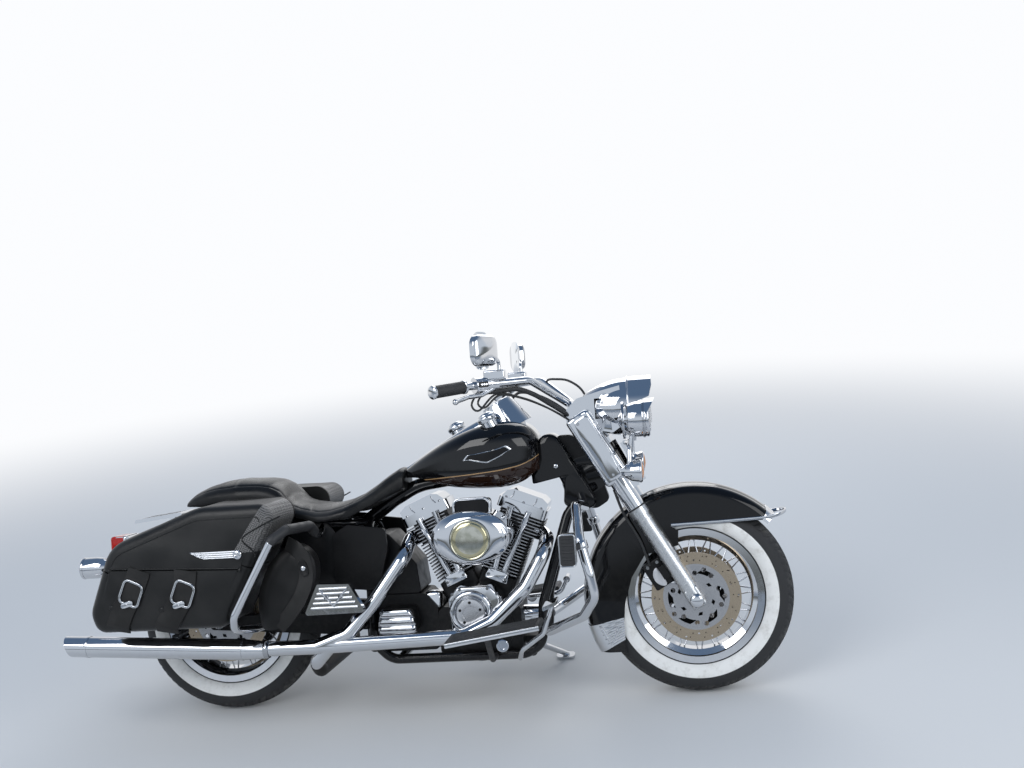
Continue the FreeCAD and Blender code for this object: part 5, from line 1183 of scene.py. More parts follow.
def knob(place, axis, profile, sides=40):
    return revolved(profile, place, axis, sides)


def cap_screw(place, axis, r=4.0, high=4.0):
    """A socket head: a short drum with a rounded rim and a hollow in its top."""
    return revolved([(0, r), (high - 0.8, r), (high, r - 0.8), (high, r * 0.55),
                     (high * 0.45, r * 0.5), (high * 0.45, 0)], place, axis, 20)


def insert_metal():
    """A pale gold insert: rings of slightly different tone about its centre."""
    material, tree, shader, place = finish("Gold insert", Base_Color=(0.5, 0.49, 0.4),
                                           Metallic=1.0, Roughness=0.14)
    centre = add(tree, "ShaderNodeVectorMath", [(0, place)], operation="SUBTRACT")
    centre.inputs[1].default_value = (0.108, -0.29, 0.575)
    split = add(tree, "ShaderNodeSeparateXYZ", [("Vector", centre.outputs[0])])
    flat = add(tree, "ShaderNodeCombineXYZ", [("X", split.outputs["X"]),
                                              ("Z", split.outputs["Z"])])
    r = add(tree, "ShaderNodeVectorMath", [(0, flat.outputs[0])], operation="LENGTH")
    ring = arithmetic_between(tree, r.outputs["Value"], 0.045, 0.060, 0.001)
    cloud = add(tree, "ShaderNodeTexNoise", [("Vector", place)], Scale=38.0, Detail=4.0)
    tone = blended(tree, between(tree, cloud.outputs["Fac"], 0.35, 0.65), (0.55, 0.54, 0.47),
                   (0.38, 0.38, 0.31))
    tree.links.new(blended(tree, ring, tone, (0.50, 0.46, 0.30)), shader.inputs["Base Color"])
    return material


DIM_CHROME = chrome("Dim chrome", (0.45, 0.46, 0.48), 0.06, 0.16, 0.3)
TURNED_ALLOY = finish("Turned alloy", Base_Color=(0.6, 0.6, 0.61), Metallic=1.0, Roughness=0.27)[0]
KNOB_BLACK = satin_black("Knob black", (0.006, 0.006, 0.0065), 0.35)
GOLD = insert_metal()


def air_cleaner_dome():
    """The cover: an oval that turns into a circle on its way in, rising as a quarter wave.

    point = (1 - k) oval + k circle, depth = 26 sin(k pi / 2)^0.8, then a groove and a
    shallow dome inside the circle.
    """
    centre = np.array([105.0, 0, 578.0])
    inner = np.array([108.0, 0, 575.0])
    rim = oval(CLEANER_A, CLEANER_B, 2.12, 128)
    ring = oval(66.0, 66.0, 2.0, 128)
    rows = []
    for k in np.linspace(0, 1, 22):
        line = (1 - k) * (rim + centre[[0, 2]]) + k * (ring + inner[[0, 2]])
        depth = CLEANER_FRONT - 26 * math.sin(k * math.pi / 2)**0.8
        rows.append(np.stack([line[:, 0], np.full(len(line), depth), line[:, 1]], -1))
    back = rows[0].copy()
    back[:, 1] += 6
    skin("air_cleaner_dome", np.array([back] + rows), "chassis", CHROME)
    profile = [(0.0, 65), (2.5, 63.5), (3.4, 61), (1.6, 58.5), (1.4, 56), (2.6, 54.5), (4, 50),
               (5.6, 40), (6.8, 28), (7.6, 14), (8, 0)]
    skin("air_cleaner_insert", revolved(profile, (108, CLEANER_FRONT - 26, 575), (0, -1, 0), 96),
         "chassis", GOLD)


CLEANER_A = 126.6
CLEANER_B = 86.2
CLEANER_FRONT = -264.4
air_cleaner_dome()


def intake_hood():
    """The dark box over the air cleaner inside its bright arched frame."""
    arch = bent_line([(46, -196, 652), (46, -196, 697), (166, -196, 697), (166, -196, 652)], 22)
    frame_line = smooth_line(arch, 60)
    section = oblong(4, 10, 2.5, 3)
    skin("hood_frame", carried(frame_line, section, up=(0, -1, 0)), "chassis", CHROME)
    body = oblong(56, 22, 12, 5)
    skin("hood_box", raised(body, [(1.0, 0), (1.0, 66), (0.95, 69), (0.0, 70)],
                            (106, -134, 671), (1, 0, 0), (0, 0, 1), (0, 0)), "chassis", CASTING)


intake_hood()


def timer_cover():
    """A turned disc with a stepped face, five screws, and a polished collar round it."""
    at = np.array([77.0, -198.0, 327.0])
    skin("timer_disc", knob(at, (0, -1, 0), [(0, 46.5), (4, 46.5), (6, 45), (6.4, 43), (6.4, 26),
                                             (5.4, 25), (5.4, 23), (6.4, 22), (6.4, 0)], 72),
         "chassis", TURNED_ALLOY)
    turns = np.radians([90, 162, 234, 306, 18])
    skin("timer_screws", [cap_screw(at + [35 * math.cos(a), -6.2, 35 * math.sin(a)], (0, -1, 0),
                                    4.6, 3.2) for a in turns], "chassis", KNOB_BLACK)
    skin("timer_collar", knob(at + [0, 11.6, 0], (0, -1, 0),
                              [(0, 72), (5, 70), (9, 64), (9.5, 58), (6, 51), (0, 48)], 72),
         "chassis", CHROME)
    places = [(18, 388), (44, 402), (136, 402), (166, 384), (168, 300), (22, 262)]
    skin("gearcase_screws", [cap_screw((x, -185.8, z), (0, -1, 0), 5, 5) for x, z in places],
         "chassis", DIM_CHROME)


timer_cover()


def lifter_wings():
    """A bright bowed plate over the foot of each pushrod pair, with two screws."""
    plates = []
    screws = []
    for side in (-1, 1):
        up = unit(bank(side, 1, 0, 0) - bank(side, 0, 0, 0))
        out = unit(bank(side, 0, 1, 0) - bank(side, 0, 0, 0))
        centre = bank(side, 187, 0, -103.6)
        shape = rounded([(-40, -20), (40, -20), (34, 16), (-34, 16)], 9, 5)
        first = out if side == 1 else -out
        plates.append(raised(shape, [(1.0, 0), (0.98, 4), (0.9, 6), (0.0, 7.5)], centre, first,
                             up, (0, 0)))
        for p in (-30, 30):
            screws.append(cap_screw(bank(side, 182, p, -109), (0, -1, 0), 5, 5))
    skin("lifter_plates", plates, "chassis", CHROME)
    skin("lifter_screws", screws, "chassis", DIM_CHROME)


lifter_wings()


def rocker_trim():
    """A raised arched band and bolts along each rocker box's flange."""
    bands = []
    bolts = []
    for side in (-1, 1):
        up = unit(bank(side, 1, 0, 0) - bank(side, 0, 0, 0))
        for p in (-58, 4, 66):
            bolts.append(cap_screw(bank(side, 436.4, p, -69.3), up, 4.5, 5.5))
            bolts.append(cap_screw(bank(side, 436.4, p, 69.3), up, 4.5, 5.5))
        for p in (-40, 40):
            foot = bank(side, 438, p - 3, -66.3)
            tip = bank(side, 466, p + 3, -66.3)
            middle = (foot + tip) / 2 + unit(bank(side, 0, 1, 0) - bank(side, 0, 0, 0)) * 3
            line = smooth_line(np.array([foot, middle, tip]), 16)
            bands.append(carried(line, rounded([(-2.2, -0.8), (2.2, -0.8), (1.2, 1.4),
                                                (-1.2, 1.4)], 0.8, 3), up=(0, -1, 0)))
    skin("rocker_seams", bands, "chassis", DIM_CHROME)
    skin("rocker_bolts", bolts, "chassis", DIM_CHROME)


rocker_trim()


def gearbox_lid():
    """The bright clutch release cover: three bowed steps that narrow upwards.

    depth = edge(u, v)^0.5 * (9 + 5 |sin(3 pi v)|^0.6), half width falls from 66 to 46.
    """
    u = np.linspace(-1, 1, 41)[None, :]
    v = np.linspace(0, 1, 64)[:, None]
    half = 66 - 20 * v**3
    edge = np.clip((1 - np.abs(u)**8) * 1.2, 0, 1) * np.clip(np.minimum(v, 1 - v) * 22, 0, 1)
    x = -178 + half * u - 2 * v
    depth = -160.3 - edge**0.5 * (9 + 5 * np.abs(np.sin(3 * np.pi * v))**0.6)
    z = 264 + 80 * v + 0 * u
    grid = np.stack([x, depth + 0 * x, z], -1)
    skin("release_cover", grid, "chassis", CHROME)
    places = [(-236, 272), (-120, 272), (-228, 334), (-130, 334)]
    skin("release_screws", [cap_screw((x, -163, z), (0, -1, 0), 5, 9) for x, z in places],
         "chassis", DIM_CHROME)
    shape = oblong(30, 22, 12, 6)
    skin("filler_box", raised(shape, [(1.0, 0), (1.0, 40), (0.9, 48), (0.6, 53), (0.0, 55)],
                              (-72, -60, 330), (1, 0, 0), (0, 1, 0), (0, 0)), "chassis", CHROME)


gearbox_lid()


def header_trim():
    """A clamp before each muffler and two thin bands along it."""
    rings = []
    for turn in (1, -1):
        rings.append(revolved([(0, 24.5), (0, 28.5), (3, 30), (13, 30), (16, 28.5), (16, 24.5)],
                              (-596, -272 * turn, 256), (1, 0, 0), 48))
    skin("muffler_clamps", rings, "chassis", DIM_CHROME)
    tips = []
    for turn in (1, -1):
        rise = math.radians(3.3)
        along_tip = np.array([-math.cos(rise), 0, math.sin(rise)])
        start = np.array([-640.0, -272 * turn, 256.0])
        for s in (26, 560):
            tips.append(revolved([(0, 33.6), (0.6, 35.2), (5, 35.6), (9.4, 35.2), (10, 33.6)],
                                 start + along_tip * s, along_tip, 56))
    skin("muffler_bands", tips, "chassis", CHROME)


header_trim()


def primary_side():
    """The left side's covers: a round lid with five screws and an inspection plate."""
    skin("clutch_lid", knob((-150, 210, 268), (0, 1, 0), [(0, 54), (2, 54), (4, 51), (5.5, 40),
                                                          (6, 20), (6, 0)], 64), "chassis", CHROME)
    turns = np.radians(np.arange(5) * 72 + 90)
    screws = [cap_screw((-150 + 44 * math.cos(a), 213.5, 268 + 44 * math.sin(a)), (0, 1, 0), 4.5,
                        3.5) for a in turns]
    plate = raised(oval(44, 24, 2.8, 56), [(1.0, 0), (0.98, 3), (0.9, 4.6), (0.0, 5)],
                   (60, 200.2, 282), (-1, 0, 0), (0, 0, 1), (0, 0))
    screws += [cap_screw((x, 204.5, 282), (0, 1, 0), 4, 3) for x in (24, 96)]
    skin("inspection_plate", plate, "chassis", CHROME)
    skin("primary_screws", screws, "chassis", DIM_CHROME)


primary_side()


def board_trim():
    """A pierced bright edge on the rider's boards, their tread ribs and the arm's eye."""
    edge_start = np.array([24.0, -392.4, 266.0])
    edge_end = np.array([320.0, -392.4, 309.0])
    line = edge_start + np.linspace(0, 1, 30)[:, None] * (edge_end - edge_start)
    skin("board_edge", carried(line, oblong(1.5, 7, 1.2, 3)),
         "chassis", CHROME, mirror=True)
    ribs = []
    for y in np.linspace(-380, -284, 9):
        a = np.array([40, y, 279.4])
        b = np.array([306, y, 317.0])
        ribs.append(carried(a + np.linspace(0, 1, 20)[:, None] * (b - a),
                            oval(3.2, 2.4, 2.6, 12)))
    skin("board_ribs", ribs, "chassis", RUBBER, mirror=True)
    eye = revolved([(0, 19), (6, 19), (8, 17), (8, 11), (3, 10), (3, 0)], (206, -393, 262),
                   (0, -1, 0), 40)
    skin("board_eye", eye, "chassis", CHROME, mirror=True)


board_trim()


def passenger_trim():
    """Ribs down the passenger boards' covers, a shallow vee and two screws."""
    slope = np.array([1.0, 0.0, 0.0])
    ribs = []
    for z, a, b in ((455, -374, -284), (440, -382, -276), (425, -389, -268), (410, -396, -260),
                    (395, -404, -252)):
        line = np.array([a, -353.2, z]) + np.linspace(0, 1, 16)[:, None] * ((b - a) * slope)
        ribs.append(carried(line, oval(3.0, 3.4, 2.4, 14)))
    vee = np.array([(-372, -356.4, 452), (-330, -356.4, 400), (-288, -356.4, 450)], float)
    ribs.append(carried(vee, oval(4, 2.2, 3.0, 14)))
    skin("passenger_ribs", ribs, "chassis", CHROME, mirror=True)
    screws = [cap_screw((x, -352.6, 428), (0, -1, 0), 7, 7) for x in (-352, -306)]
    skin("passenger_screws", screws, "chassis", DIM_CHROME, mirror=True)


passenger_trim()


# Front end


LEG_UP = unit(fork(1, 0, 0) - fork(0, 0, 0))
LEG_AHEAD = unit(fork(0, 1, 0) - fork(0, 0, 0))
FACE_MIRROR = chrome("Mirror glass", (0.86, 0.88, 0.9), 0.005, 0.02, 0.05)


def lens(name, mouth, y, z, r, glass, body="steering", turn=1):
    """A bright bezel and a domed glass at the mouth of a round lamp."""
    bezel = [(-3, r - 0.2), (2, r + 1.4), (6, r), (8.6, r - 4), (8.0, r - 8), (4, r - 9.5)]
    dome = [(5.5, r - 9), (9, r * 0.74), (12, r * 0.5), (13.6, r * 0.25), (14.2, 0)]
    axis = (turn, 0, 0)
    skin(name + "_bezel", revolved(bezel, (mouth, y, z), axis, 72), body, CHROME, mirror=y != 0)
    skin(name + "_lens", revolved(dome, (mouth, y, z), axis, 72), body, glass, mirror=y != 0)


def peak(name, x, y, z, r, reach, sweep):
    """A short visor: point = (x + v reach cos(a)^0.6, y + r sin a, z + r cos a)."""
    a = np.radians(np.linspace(-sweep, sweep, 61))[None, :]
    v = np.linspace(0, 1, 14)[:, None]
    length = reach * np.clip(np.cos(a * 90 / sweep), 0.04, 1)**0.6
    grid = np.stack([x + v * length, y + (r + 2 * v) * np.sin(a), z + (r + 2 * v) * np.cos(a)], -1)
    skin(name, grid, "steering", CHROME, mirror=y != 0, wall=1.6)


def head_lamp():
    lens("head_lamp", 643, 0, 958, 95, GLASS)
    bead = circle(3, 12) + [0, 101.5]
    skin("lamp_bead", revolved(bead, (631, 0, 958), (1, 0, 0), 96), "steering", CHROME)
    lens("passing_lamp", 690, -200, 918, 57, GLASS)
    peak("passing_visor", 684, -200, 918, 58.6, 32, 74)
    lens("front_signal", 656, -222, 755, 36, AMBER_GLASS)
    hoop = []
    for x in (612, 676):
        hoop.append(revolved([(0, 57.2), (0, 59), (2, 60), (6, 60), (8, 59), (8, 57.2)],
                             (x, -200, 918), (1, 0, 0), 72))
    skin("passing_rings", hoop, "steering", DIM_CHROME, mirror=True)


head_lamp()


def fork_dress():
    """A raised panel and screws on each cover, seals, the axle's domes and their screws."""
    panel = rounded([(-26, -118), (20, -118), (30, -20), (30, 108), (-20, 108), (-26, 60)], 14, 6)
    centre = fork(588, 2, -139.2)
    skin("cover_panel", raised(panel, [(1.0, -0.4), (0.995, 1.2), (0.97, 2.2), (0.94, 2.6),
                                       (0.0, 2.8)], centre, LEG_AHEAD, LEG_UP, (2, 0)),
         "steering", CHROME, mirror=True)
    screws = [cap_screw(fork(s, f, -141), (0, -1, 0), 5, 4) for s, f in ((684, -8), (484, -2))]
    skin("cover_screws", screws, "steering", DIM_CHROME, mirror=True)
    seal = revolved([(0, 27.6), (0, 30.6), (6, 30.6), (9, 27), (9, 20.7)], fork(350.4, 0, -108),
                    LEG_UP, 48)
    skin("fork_seal", seal, "steering", RUBBER, mirror=True)
    steps = [revolved([(0, 27.4), (0.6, 29.2), (7, 29.2), (7.6, 27.4)], fork(s, 0, -108), LEG_UP,
                      56) for s in (300, 58)]
    skin("slider_steps", steps, "steering", ALLOY, mirror=True)
    dome = [(0, 23), (4, 22.6), (8, 19.5), (10.6, 13), (11.6, 6), (11.9, 0)]
    skin("axle_dome", revolved(dome, (806.5, -132.2, 320), (0, -1, 0), 56), "steering", CHROME,
         mirror=True)
    pinch = [cap_screw(fork(-16, f, -132.2), (0, -1, 0), 4.4, 4) for f in (-14, 14)]
    skin("pinch_screws", pinch, "steering", DIM_CHROME, mirror=True)


fork_dress()


def caliper_insert():
    """A silver kidney shaped plate with two bolts on each front caliper."""
    t = np.linspace(0, 2 * np.pi, 65)
    bend = np.stack([16 * np.cos(t) * (1 + 0.12 * np.cos(t)), 33 * np.sin(t)], -1)
    bend[:, 0] -= 9 * (1 - (bend[:, 1] / 33)**2)
    plate = raised(bend, [(1.0, -0.2), (0.97, 2.0), (0.9, 3.0), (0.0, 3.4)],
                   fork(119, -60, -86.2), LEG_AHEAD, LEG_UP, (-5, 0))
    skin("caliper_plate", plate, "steering", SILVER, mirror=True)
    bolts = [cap_screw(fork(s, f, -86), (0, -1, 0), 6, 5) for s, f in ((166, -44), (166, -80))]
    skin("caliper_bolts", bolts, "steering", DIM_CHROME, mirror=True)


caliper_insert()


def fender_side(x, z):
    """Half width of the front fender's outside at a place in the side view."""
    r = np.hypot(np.asarray(x) - 806.5, np.asarray(z) - 320)
    return 38 + np.sqrt(np.maximum(34.0**2 - np.clip(r - 331.5, 0, 33.5)**2, 0))


def fender_trim():
    """The ribbed rail along each skirt, tip and bumper ahead, and the rippled flap behind."""
    x = np.linspace(742, 1056, 60)
    z = np.interp(x, [742, 900, 1056], [559.5, 562.5, 567.5])
    section = oblong(2.4, 5, 2.2, 4)
    rail = np.stack([x, -fender_side(x, z) - 1.2, z], -1)
    grids = [carried(rail, section)]
    for lift in (-3.2, 3.2):
        thin = rail + np.array([0, -2.2, lift])
        grids.append(carried(thin, circle(1.0, 10)))
    skin("fender_rail", grids, "steering", CHROME, mirror=True)
    turn = np.linspace(-1, 1, 61)[None, :]
    v = np.linspace(0, 1, 10)[:, None]
    angle = np.radians(42.7 + v * (6.5 - 3.0 * np.abs(turn)**1.5))
    y = np.where(np.abs(turn) < 0.55, 38 * turn / 0.55,
                 np.sign(turn) * (38 + 34 * np.sin((np.abs(turn) - 0.55) / 0.45 * np.pi / 2)))
    drop = np.where(np.abs(turn) < 0.55, 7 * (1 - (turn / 0.55)**2),
                    -34 * (1 - np.cos((np.abs(turn) - 0.55) / 0.45 * np.pi / 2)))
    r = 365.5 + 1.0 + drop
    tip = np.stack([806.5 + r * np.cos(angle), y + 0 * angle, 320 + r * np.sin(angle)], -1)
    skin("fender_tip", tip, "steering", CHROME, wall=2.2)
    a = np.radians(np.linspace(-90, 90, 61))
    nose = np.stack([1052 + 66 * np.cos(a)**0.7, 70 * np.sin(a), 568 + 14 * np.cos(a)], -1)
    bar = oblong(3, 6, 2.6, 4)
    skin("fender_bumper", carried(nose, bar), "steering", CHROME)
    corner = np.radians(np.linspace(0, 90, 9))[1:]
    phi = np.radians(np.linspace(28, 13, 90))[:, None]
    start = 240.5 / np.cos(phi)
    flat_r = start + (331.5 - start) * np.linspace(0, 1, 5)
    curve_r = 331.5 + 35.3 * np.sin(corner) + 0 * phi
    curve_y = -38 - 35.3 * np.cos(corner) + 0 * phi
    crown_y = np.linspace(-38, 0, 9)[1:] + 0 * phi
    crown_r = 366.8 + 7 * (1 - (crown_y / 38)**2)
    radius = np.concatenate([flat_r, curve_r, crown_r], 1)
    ripple = 1.1 * np.abs(np.sin((320 - flat_r * np.sin(phi)) * np.pi / 15))
    side = np.concatenate([-73.3 - ripple, curve_y, crown_y], 1)
    radius = np.concatenate([radius, radius[:, -2::-1]], 1)
    side = np.concatenate([side, -side[:, -2::-1]], 1)
    flap = np.stack([806.5 - radius * np.cos(phi), side, 320 - radius * np.sin(phi)], -1)
    skin("fender_flap", flap, "steering", CHROME, wall=1.6)
    vee = np.array([(492, -75.4, 226), (520, -75.4, 176), (548, -75.4, 226)], float)
    grids = [carried(vee, oblong(2, 3, 1.5, 3)),
             carried(vee + np.array([0, 0, 16]), oblong(1, 1.6, 0.8, 3))]
    skin("flap_vee", grids, "steering", CHROME, mirror=True)


fender_trim()


def hose(name, points, r):
    line = smooth_line(np.array(points, float), 60)
    skin(name, carried(line, circle(r, 14)), "steering", RUBBER)


def front_hoses():
    """Brake hose down the right leg, and the wires and cables from the bar to the head."""
    hose("brake_hose", [fork(440, -30, -100), fork(360, -46, -98), fork(260, -50, -96),
                        fork(200, -62, -92), fork(168, -70, -84)], 4.6)
    hose("bar_wires", [(176, -302, 1042), (214, -264, 1038), (280, -214, 1042),
                       (330, -178, 1022), (372, -128, 990), (408, -92, 962), (440, -62, 934)], 8.0)
    hose("clutch_cable", [(176, 302, 1040), (160, 306, 1004), (188, 284, 1000),
                          (232, 244, 1030), (300, 192, 1018), (370, 128, 984),
                          (440, 64, 932)], 5.0)
    hose("throttle_cable", [(168, -314, 1036), (150, -314, 1000), (170, -296, 982),
                            (222, -250, 1030), (296, -192, 1012), (368, -130, 974),
                            (440, -68, 922)], 3.4)
    hose("idle_cable", [(184, -300, 1036), (168, -300, 1004), (188, -282, 990),
                        (232, -240, 1026), (302, -184, 1008), (374, -122, 970),
                        (444, -60, 920)], 3.4)
    hose("cable_loop", [(338, 180, 1056), (352, 142, 1068), (380, 98, 1068),
                        (426, 66, 1060), (468, 60, 1030),
                        (486, 62, 990), (480, 60, 950)], 4.0)


front_hoses()


def bar_ends():
    """Bright caps on the grips and the inner collars, with the switch plates beside them."""
    a = np.array([58.0, -440, 1048])
    b = np.array([152.0, -330, 1060])
    c = np.array([323.0, -200, 1068])
    out = unit(a - b)
    cap = [(-4, 19.6), (-3, 21), (3, 21.2), (6, 19), (8, 12), (8.6, 0)]
    collar = [(-6, 19.6), (-5, 21.4), (0, 21.6), (1, 19)]
    end = a - 0.02 * (b - a)
    inner = a + 0.84 * (b - a)
    skin("grip_caps", [revolved(cap, end, out, 48), revolved(collar, inner, -out, 48)],
         "steering", CHROME, mirror=True)
    d = unit(c - b)
    start = b + 14 * d
    n = unit(np.array([0.605, -0.795, 0.05]) - d * np.dot(d, [0.605, -0.795, 0.05]))
    e2 = np.cross(n, d)
    plate = raised(oblong(17, 9, 4, 4),
                   [(1.0, -5.0), (1.0, 1.6), (0.95, 2.4), (0.0, 2.6)], start + 22 * d + 24 * n,
                   d, e2, (0, 0))
    skin("switch_plate", plate, "steering", KNOB_BLACK, mirror=True)
    buttons = [revolved([(0, 4), (3, 4), (4, 3), (4, 0)], start + k * d + 26 * n, n, 20)
               for k in (14, 22, 30)]
    skin("switch_buttons", buttons, "steering", DIM_CHROME, mirror=True)
    screws = [cap_screw(start + k * d + 20.6 * n, n, 4, 3) for k in (54, 74)]
    skin("clamp_screws", screws, "steering", DIM_CHROME, mirror=True)
    rings = [revolved([(0, 24), (0.6, 25.6), (3.4, 25.6), (4, 24)], start + k * d, d, 48)
             for k in (0, 20, 41)]
    skin("housing_rings", rings, "steering", CHROME, mirror=True)


bar_ends()


def mirror_dress():
    """A domed bright back and a dark rimmed glass on each mirror."""
    turn = math.radians(-25)
    across_it = np.array([-math.sin(turn), math.cos(turn), 0])
    up = np.array([0, 0, 1.0])
    place = np.array([215.0, -402, 1165])
    shape = oblong(62, 46, 33, 8)
    skin("mirror_back", raised(shape, [(1.0, 8.0), (0.97, 10.5), (0.88, 14), (0.7, 18),
                                       (0.45, 21), (0.2, 22.4), (0.0, 22.8)], place,
                               across_it, up, (0, 0)), "steering", CHROME, mirror=True)
    shape = oblong(58, 42, 30, 8)
    skin("mirror_glass", raised(shape, [(1.0, 9.1), (0.98, 9.8), (0.0, 9.9)], place, up,
                                across_it, (0, 0)), "steering", FACE_MIRROR, mirror=True)
    stem = revolved([(0, 6), (0, 9.5), (5, 10.5), (12, 10), (14, 6)], (222, -385, 1140),
                    (0, 0, 1), 28)
    skin("mirror_stems", stem, "steering", CHROME, mirror=True)


mirror_dress()


# Trim of the tank, the neck and the rear


def neck_covers():
    """Black pillowed covers beside the frame's neck, a bright screw on each, a web between."""
    corners = [(312, 806), (314, 862), (344, 886), (376, 884), (404, 850), (446, 770),
               (492, 686), (508, 640), (454, 617), (392, 644), (398, 704), (380, 744),
               (352, 758), (330, 734), (292, 718), (290, 770)]
    shape = rounded([(x - 420, z - 745) for x, z in corners],
                    [10, 24, 22, 22, 30, 30, 18, 26, 30, 16, 22, 20, 16, 14, 10, 20], 5)
    rows = [("in", 0, -24), ("in", 0, 22), ("in", 1.6, 28), ("in", 6, 33), ("in", 14, 36),
            ("in", 30, 38), ("in", 60, 39), (0.0, 39)]
    for side in (-1, 1):
        e1, e2 = ((1, 0, 0), (0, 0, 1)) if side < 0 else ((0, 0, 1), (1, 0, 0))
        line = shape if side < 0 else shape[::-1, ::-1]
        skin("neck_cover_right" if side < 0 else "neck_cover_left",
             raised(line, rows, (420, side * 24, 745), e1, e2, (0, 0)), "chassis", BLACK)
    corners = [(380, 876), (432, 876), (458, 850), (498, 774), (526, 715), (546, 650),
               (500, 622), (430, 640), (390, 700)]
    shape = rounded([(x - 460, z - 745) for x, z in corners], 16, 5)
    skin("neck_web", raised(shape, [(0.0, -21), (1.0, -21), (1.0, 21), (0.0, 21)], (460, 0, 745),
                            (1, 0, 0), (0, 0, 1), (0, 0)), "chassis", SATIN)
    screw = revolved([(0, 7.5), (2.5, 7), (4, 5), (4, 2.4), (2.4, 2.2), (2.4, 0)],
                     (376, -60.5, 776), (0, -1, 0), 28)
    skin("neck_screws", screw, "chassis", CHROME, mirror=True)


neck_covers()


def inner_panels():
    """Flat black panels between the side covers and the bags' guards."""
    corners = [(-378, 424), (-378, 606), (-404, 640), (-470, 640), (-540, 600), (-520, 470),
               (-450, 424)]
    shape = rounded([(x + 450, z - 530) for x, z in corners], 14, 5)
    skin("inner_panel", raised(shape, [(0.0, -3), (1.0, -3), (1.0, 2), (0.98, 3), (0.0, 3)],
                               (-450, -126, 530), (1, 0, 0), (0, 0, 1), (0, 0)), "chassis",
         SATIN, mirror=True)


inner_panels()


def tank_side(x):
    """Half width of the tank's side at x."""
    d = np.asarray(x, float) - 180
    return 150 - 0.0897 * d - 0.00172 * d**2


def tank_emblem():
    """A plain pointed plate with a bright border: no words and no maker's sign.

    The outline shrinks towards its middle line and follows the tank's half width.
    """
    corners = [(76, 818), (92, 836), (120, 838), (196, 851), (226, 861), (243, 847), (224, 838),
               (206, 826), (160, 806), (124, 812), (98, 819)]
    shape = rounded(corners, [2, 5, 8, 8, 5, 2, 5, 14, 6, 14, 5], 6)
    middle = np.array([160.0, 832.0])
    border = []
    field = []
    for k, lift in ((1.0, -4), (1.0, 1.4), (0.985, 2.6), (0.93, 3.2), (0.9, 3.0), (0.885, 1.8)):
        ring = middle + (shape - middle) * (k, k if k > 0.95 else k * 0.93)
        border.append(np.stack([ring[:, 0], -tank_side(ring[:, 0]) - lift, ring[:, 1]], -1))
    for k in np.linspace(0.90, 0, 14):
        ring = middle + (shape - middle) * (k, k * 0.93)
        field.append(np.stack([ring[:, 0], -tank_side(ring[:, 0]) - 1.9, ring[:, 1]], -1))
    skin("tank_emblem", np.array(border), "chassis", CHROME, mirror=True)
    skin("tank_emblem_field", np.array(field), "chassis", KNOB_BLACK, mirror=True)


tank_emblem()


def filler_caps():
    for n, (y, x, z) in enumerate(((-90, 178, 910), (90, 40, 880))):
        axis = unit(np.array([-0.42, 0.12 * y / 90, 0.9]))
        cap = revolved([(-14, 26.6), (-12, 31), (-4, 33), (2, 32.6), (6, 30), (8, 25), (11, 24),
                        (14, 21), (16, 14), (16.8, 0)], np.array([x, y, z]) + 50 * axis, axis, 56)
        skin("filler_cap_%d" % n, cap, "chassis", CHROME)


filler_caps()


def dial_face():
    """A pale dial: two rings of ticks and a dark middle, by radius and angle in its UV."""
    material, tree, shader, _ = finish("Dial face", Base_Color=(0.5, 0.49, 0.45),
                                           Roughness=0.4)
    uv = add(tree, "ShaderNodeTexCoord").outputs["UV"]
    split = add(tree, "ShaderNodeSeparateXYZ", [("Vector", uv)])
    r = arithmetic(tree, "SUBTRACT", 1.0, split.outputs["Y"])
    marks = 0
    for count, wide, inner in ((24, 0.12, 0.74), (72, 0.2, 0.86)):
        beat = arithmetic(tree, "FRACT", arithmetic(tree, "MULTIPLY", split.outputs["X"], count))
        tick = arithmetic(tree, "LESS_THAN", beat, wide)
        band = arithmetic_between(tree, r, inner, 0.94, 0.004)
        mark = arithmetic(tree, "MULTIPLY", tick, band)
        marks = arithmetic(tree, "MAXIMUM", marks, mark)
    middle = arithmetic(tree, "LESS_THAN", r, 0.36)
    marks = arithmetic(tree, "MAXIMUM", marks, middle)
    tree.links.new(blended(tree, marks, (0.5, 0.49, 0.45), (0.02, 0.02, 0.022)),
                   shader.inputs["Base Color"])
    return material


def speedometer():
    """Dial, needle, glass and a rolled bezel in the mouth of the console's pod."""
    up = unit(np.array([-0.45, 0, 0.89]))
    rim = np.array([184.0, 0, 997.0])
    low = rim - 5.6 * up
    e1 = across(up)[0]
    skin("dial", revolved([(0, 46), (0.01, 30), (0.02, 12), (0.03, 0)], low, up, 96), "chassis",
         dial_face())
    needle = carried(np.array([low + 2 * up - 8 * e1, low + 2 * up + 34 * e1]),
                     oblong(0.9, 0.4, 0.2, 2), up=up)
    skin("dial_needle", needle, "chassis", RED_GLASS)
    skin("dial_glass", revolved([(-1, 47), (2, 40), (3.6, 24), (4.2, 0)], rim, up, 72), "chassis",
         GLASS)
    skin("dial_bezel", revolved([(-4, 47.6), (-1, 46.4), (2.4, 48), (4, 51), (2.6, 54), (-4, 55),
                                 (-12, 56.8)], rim, up, 80), "chassis", CHROME)


speedometer()


def rear_lights():
    lens("rear_signal", -1250, -176, 537, 36, RED_GLASS, "chassis", -1)
    shape = oblong(45, 27.4, 10, 6)
    red = raised(shape, [(1.0, 0), (1.0, 40), (0.96, 46), (0.86, 51), (0.6, 54), (0.0, 55)],
                 (-1176, 0, 598), (0, -1, 0), (0, 0, 1), (0, 0))
    skin("tail_lens", red, "chassis", RED_GLASS)
    ring = raised(shape, [(0.99, -9), (1.035, -8), (1.045, -4), (1.035, 0), (1.0, 1)],
                  (-1176, 0, 598), (0, -1, 0), (0, 0, 1), (0, 0))
    skin("tail_bezel", ring, "chassis", CHROME)


rear_lights()


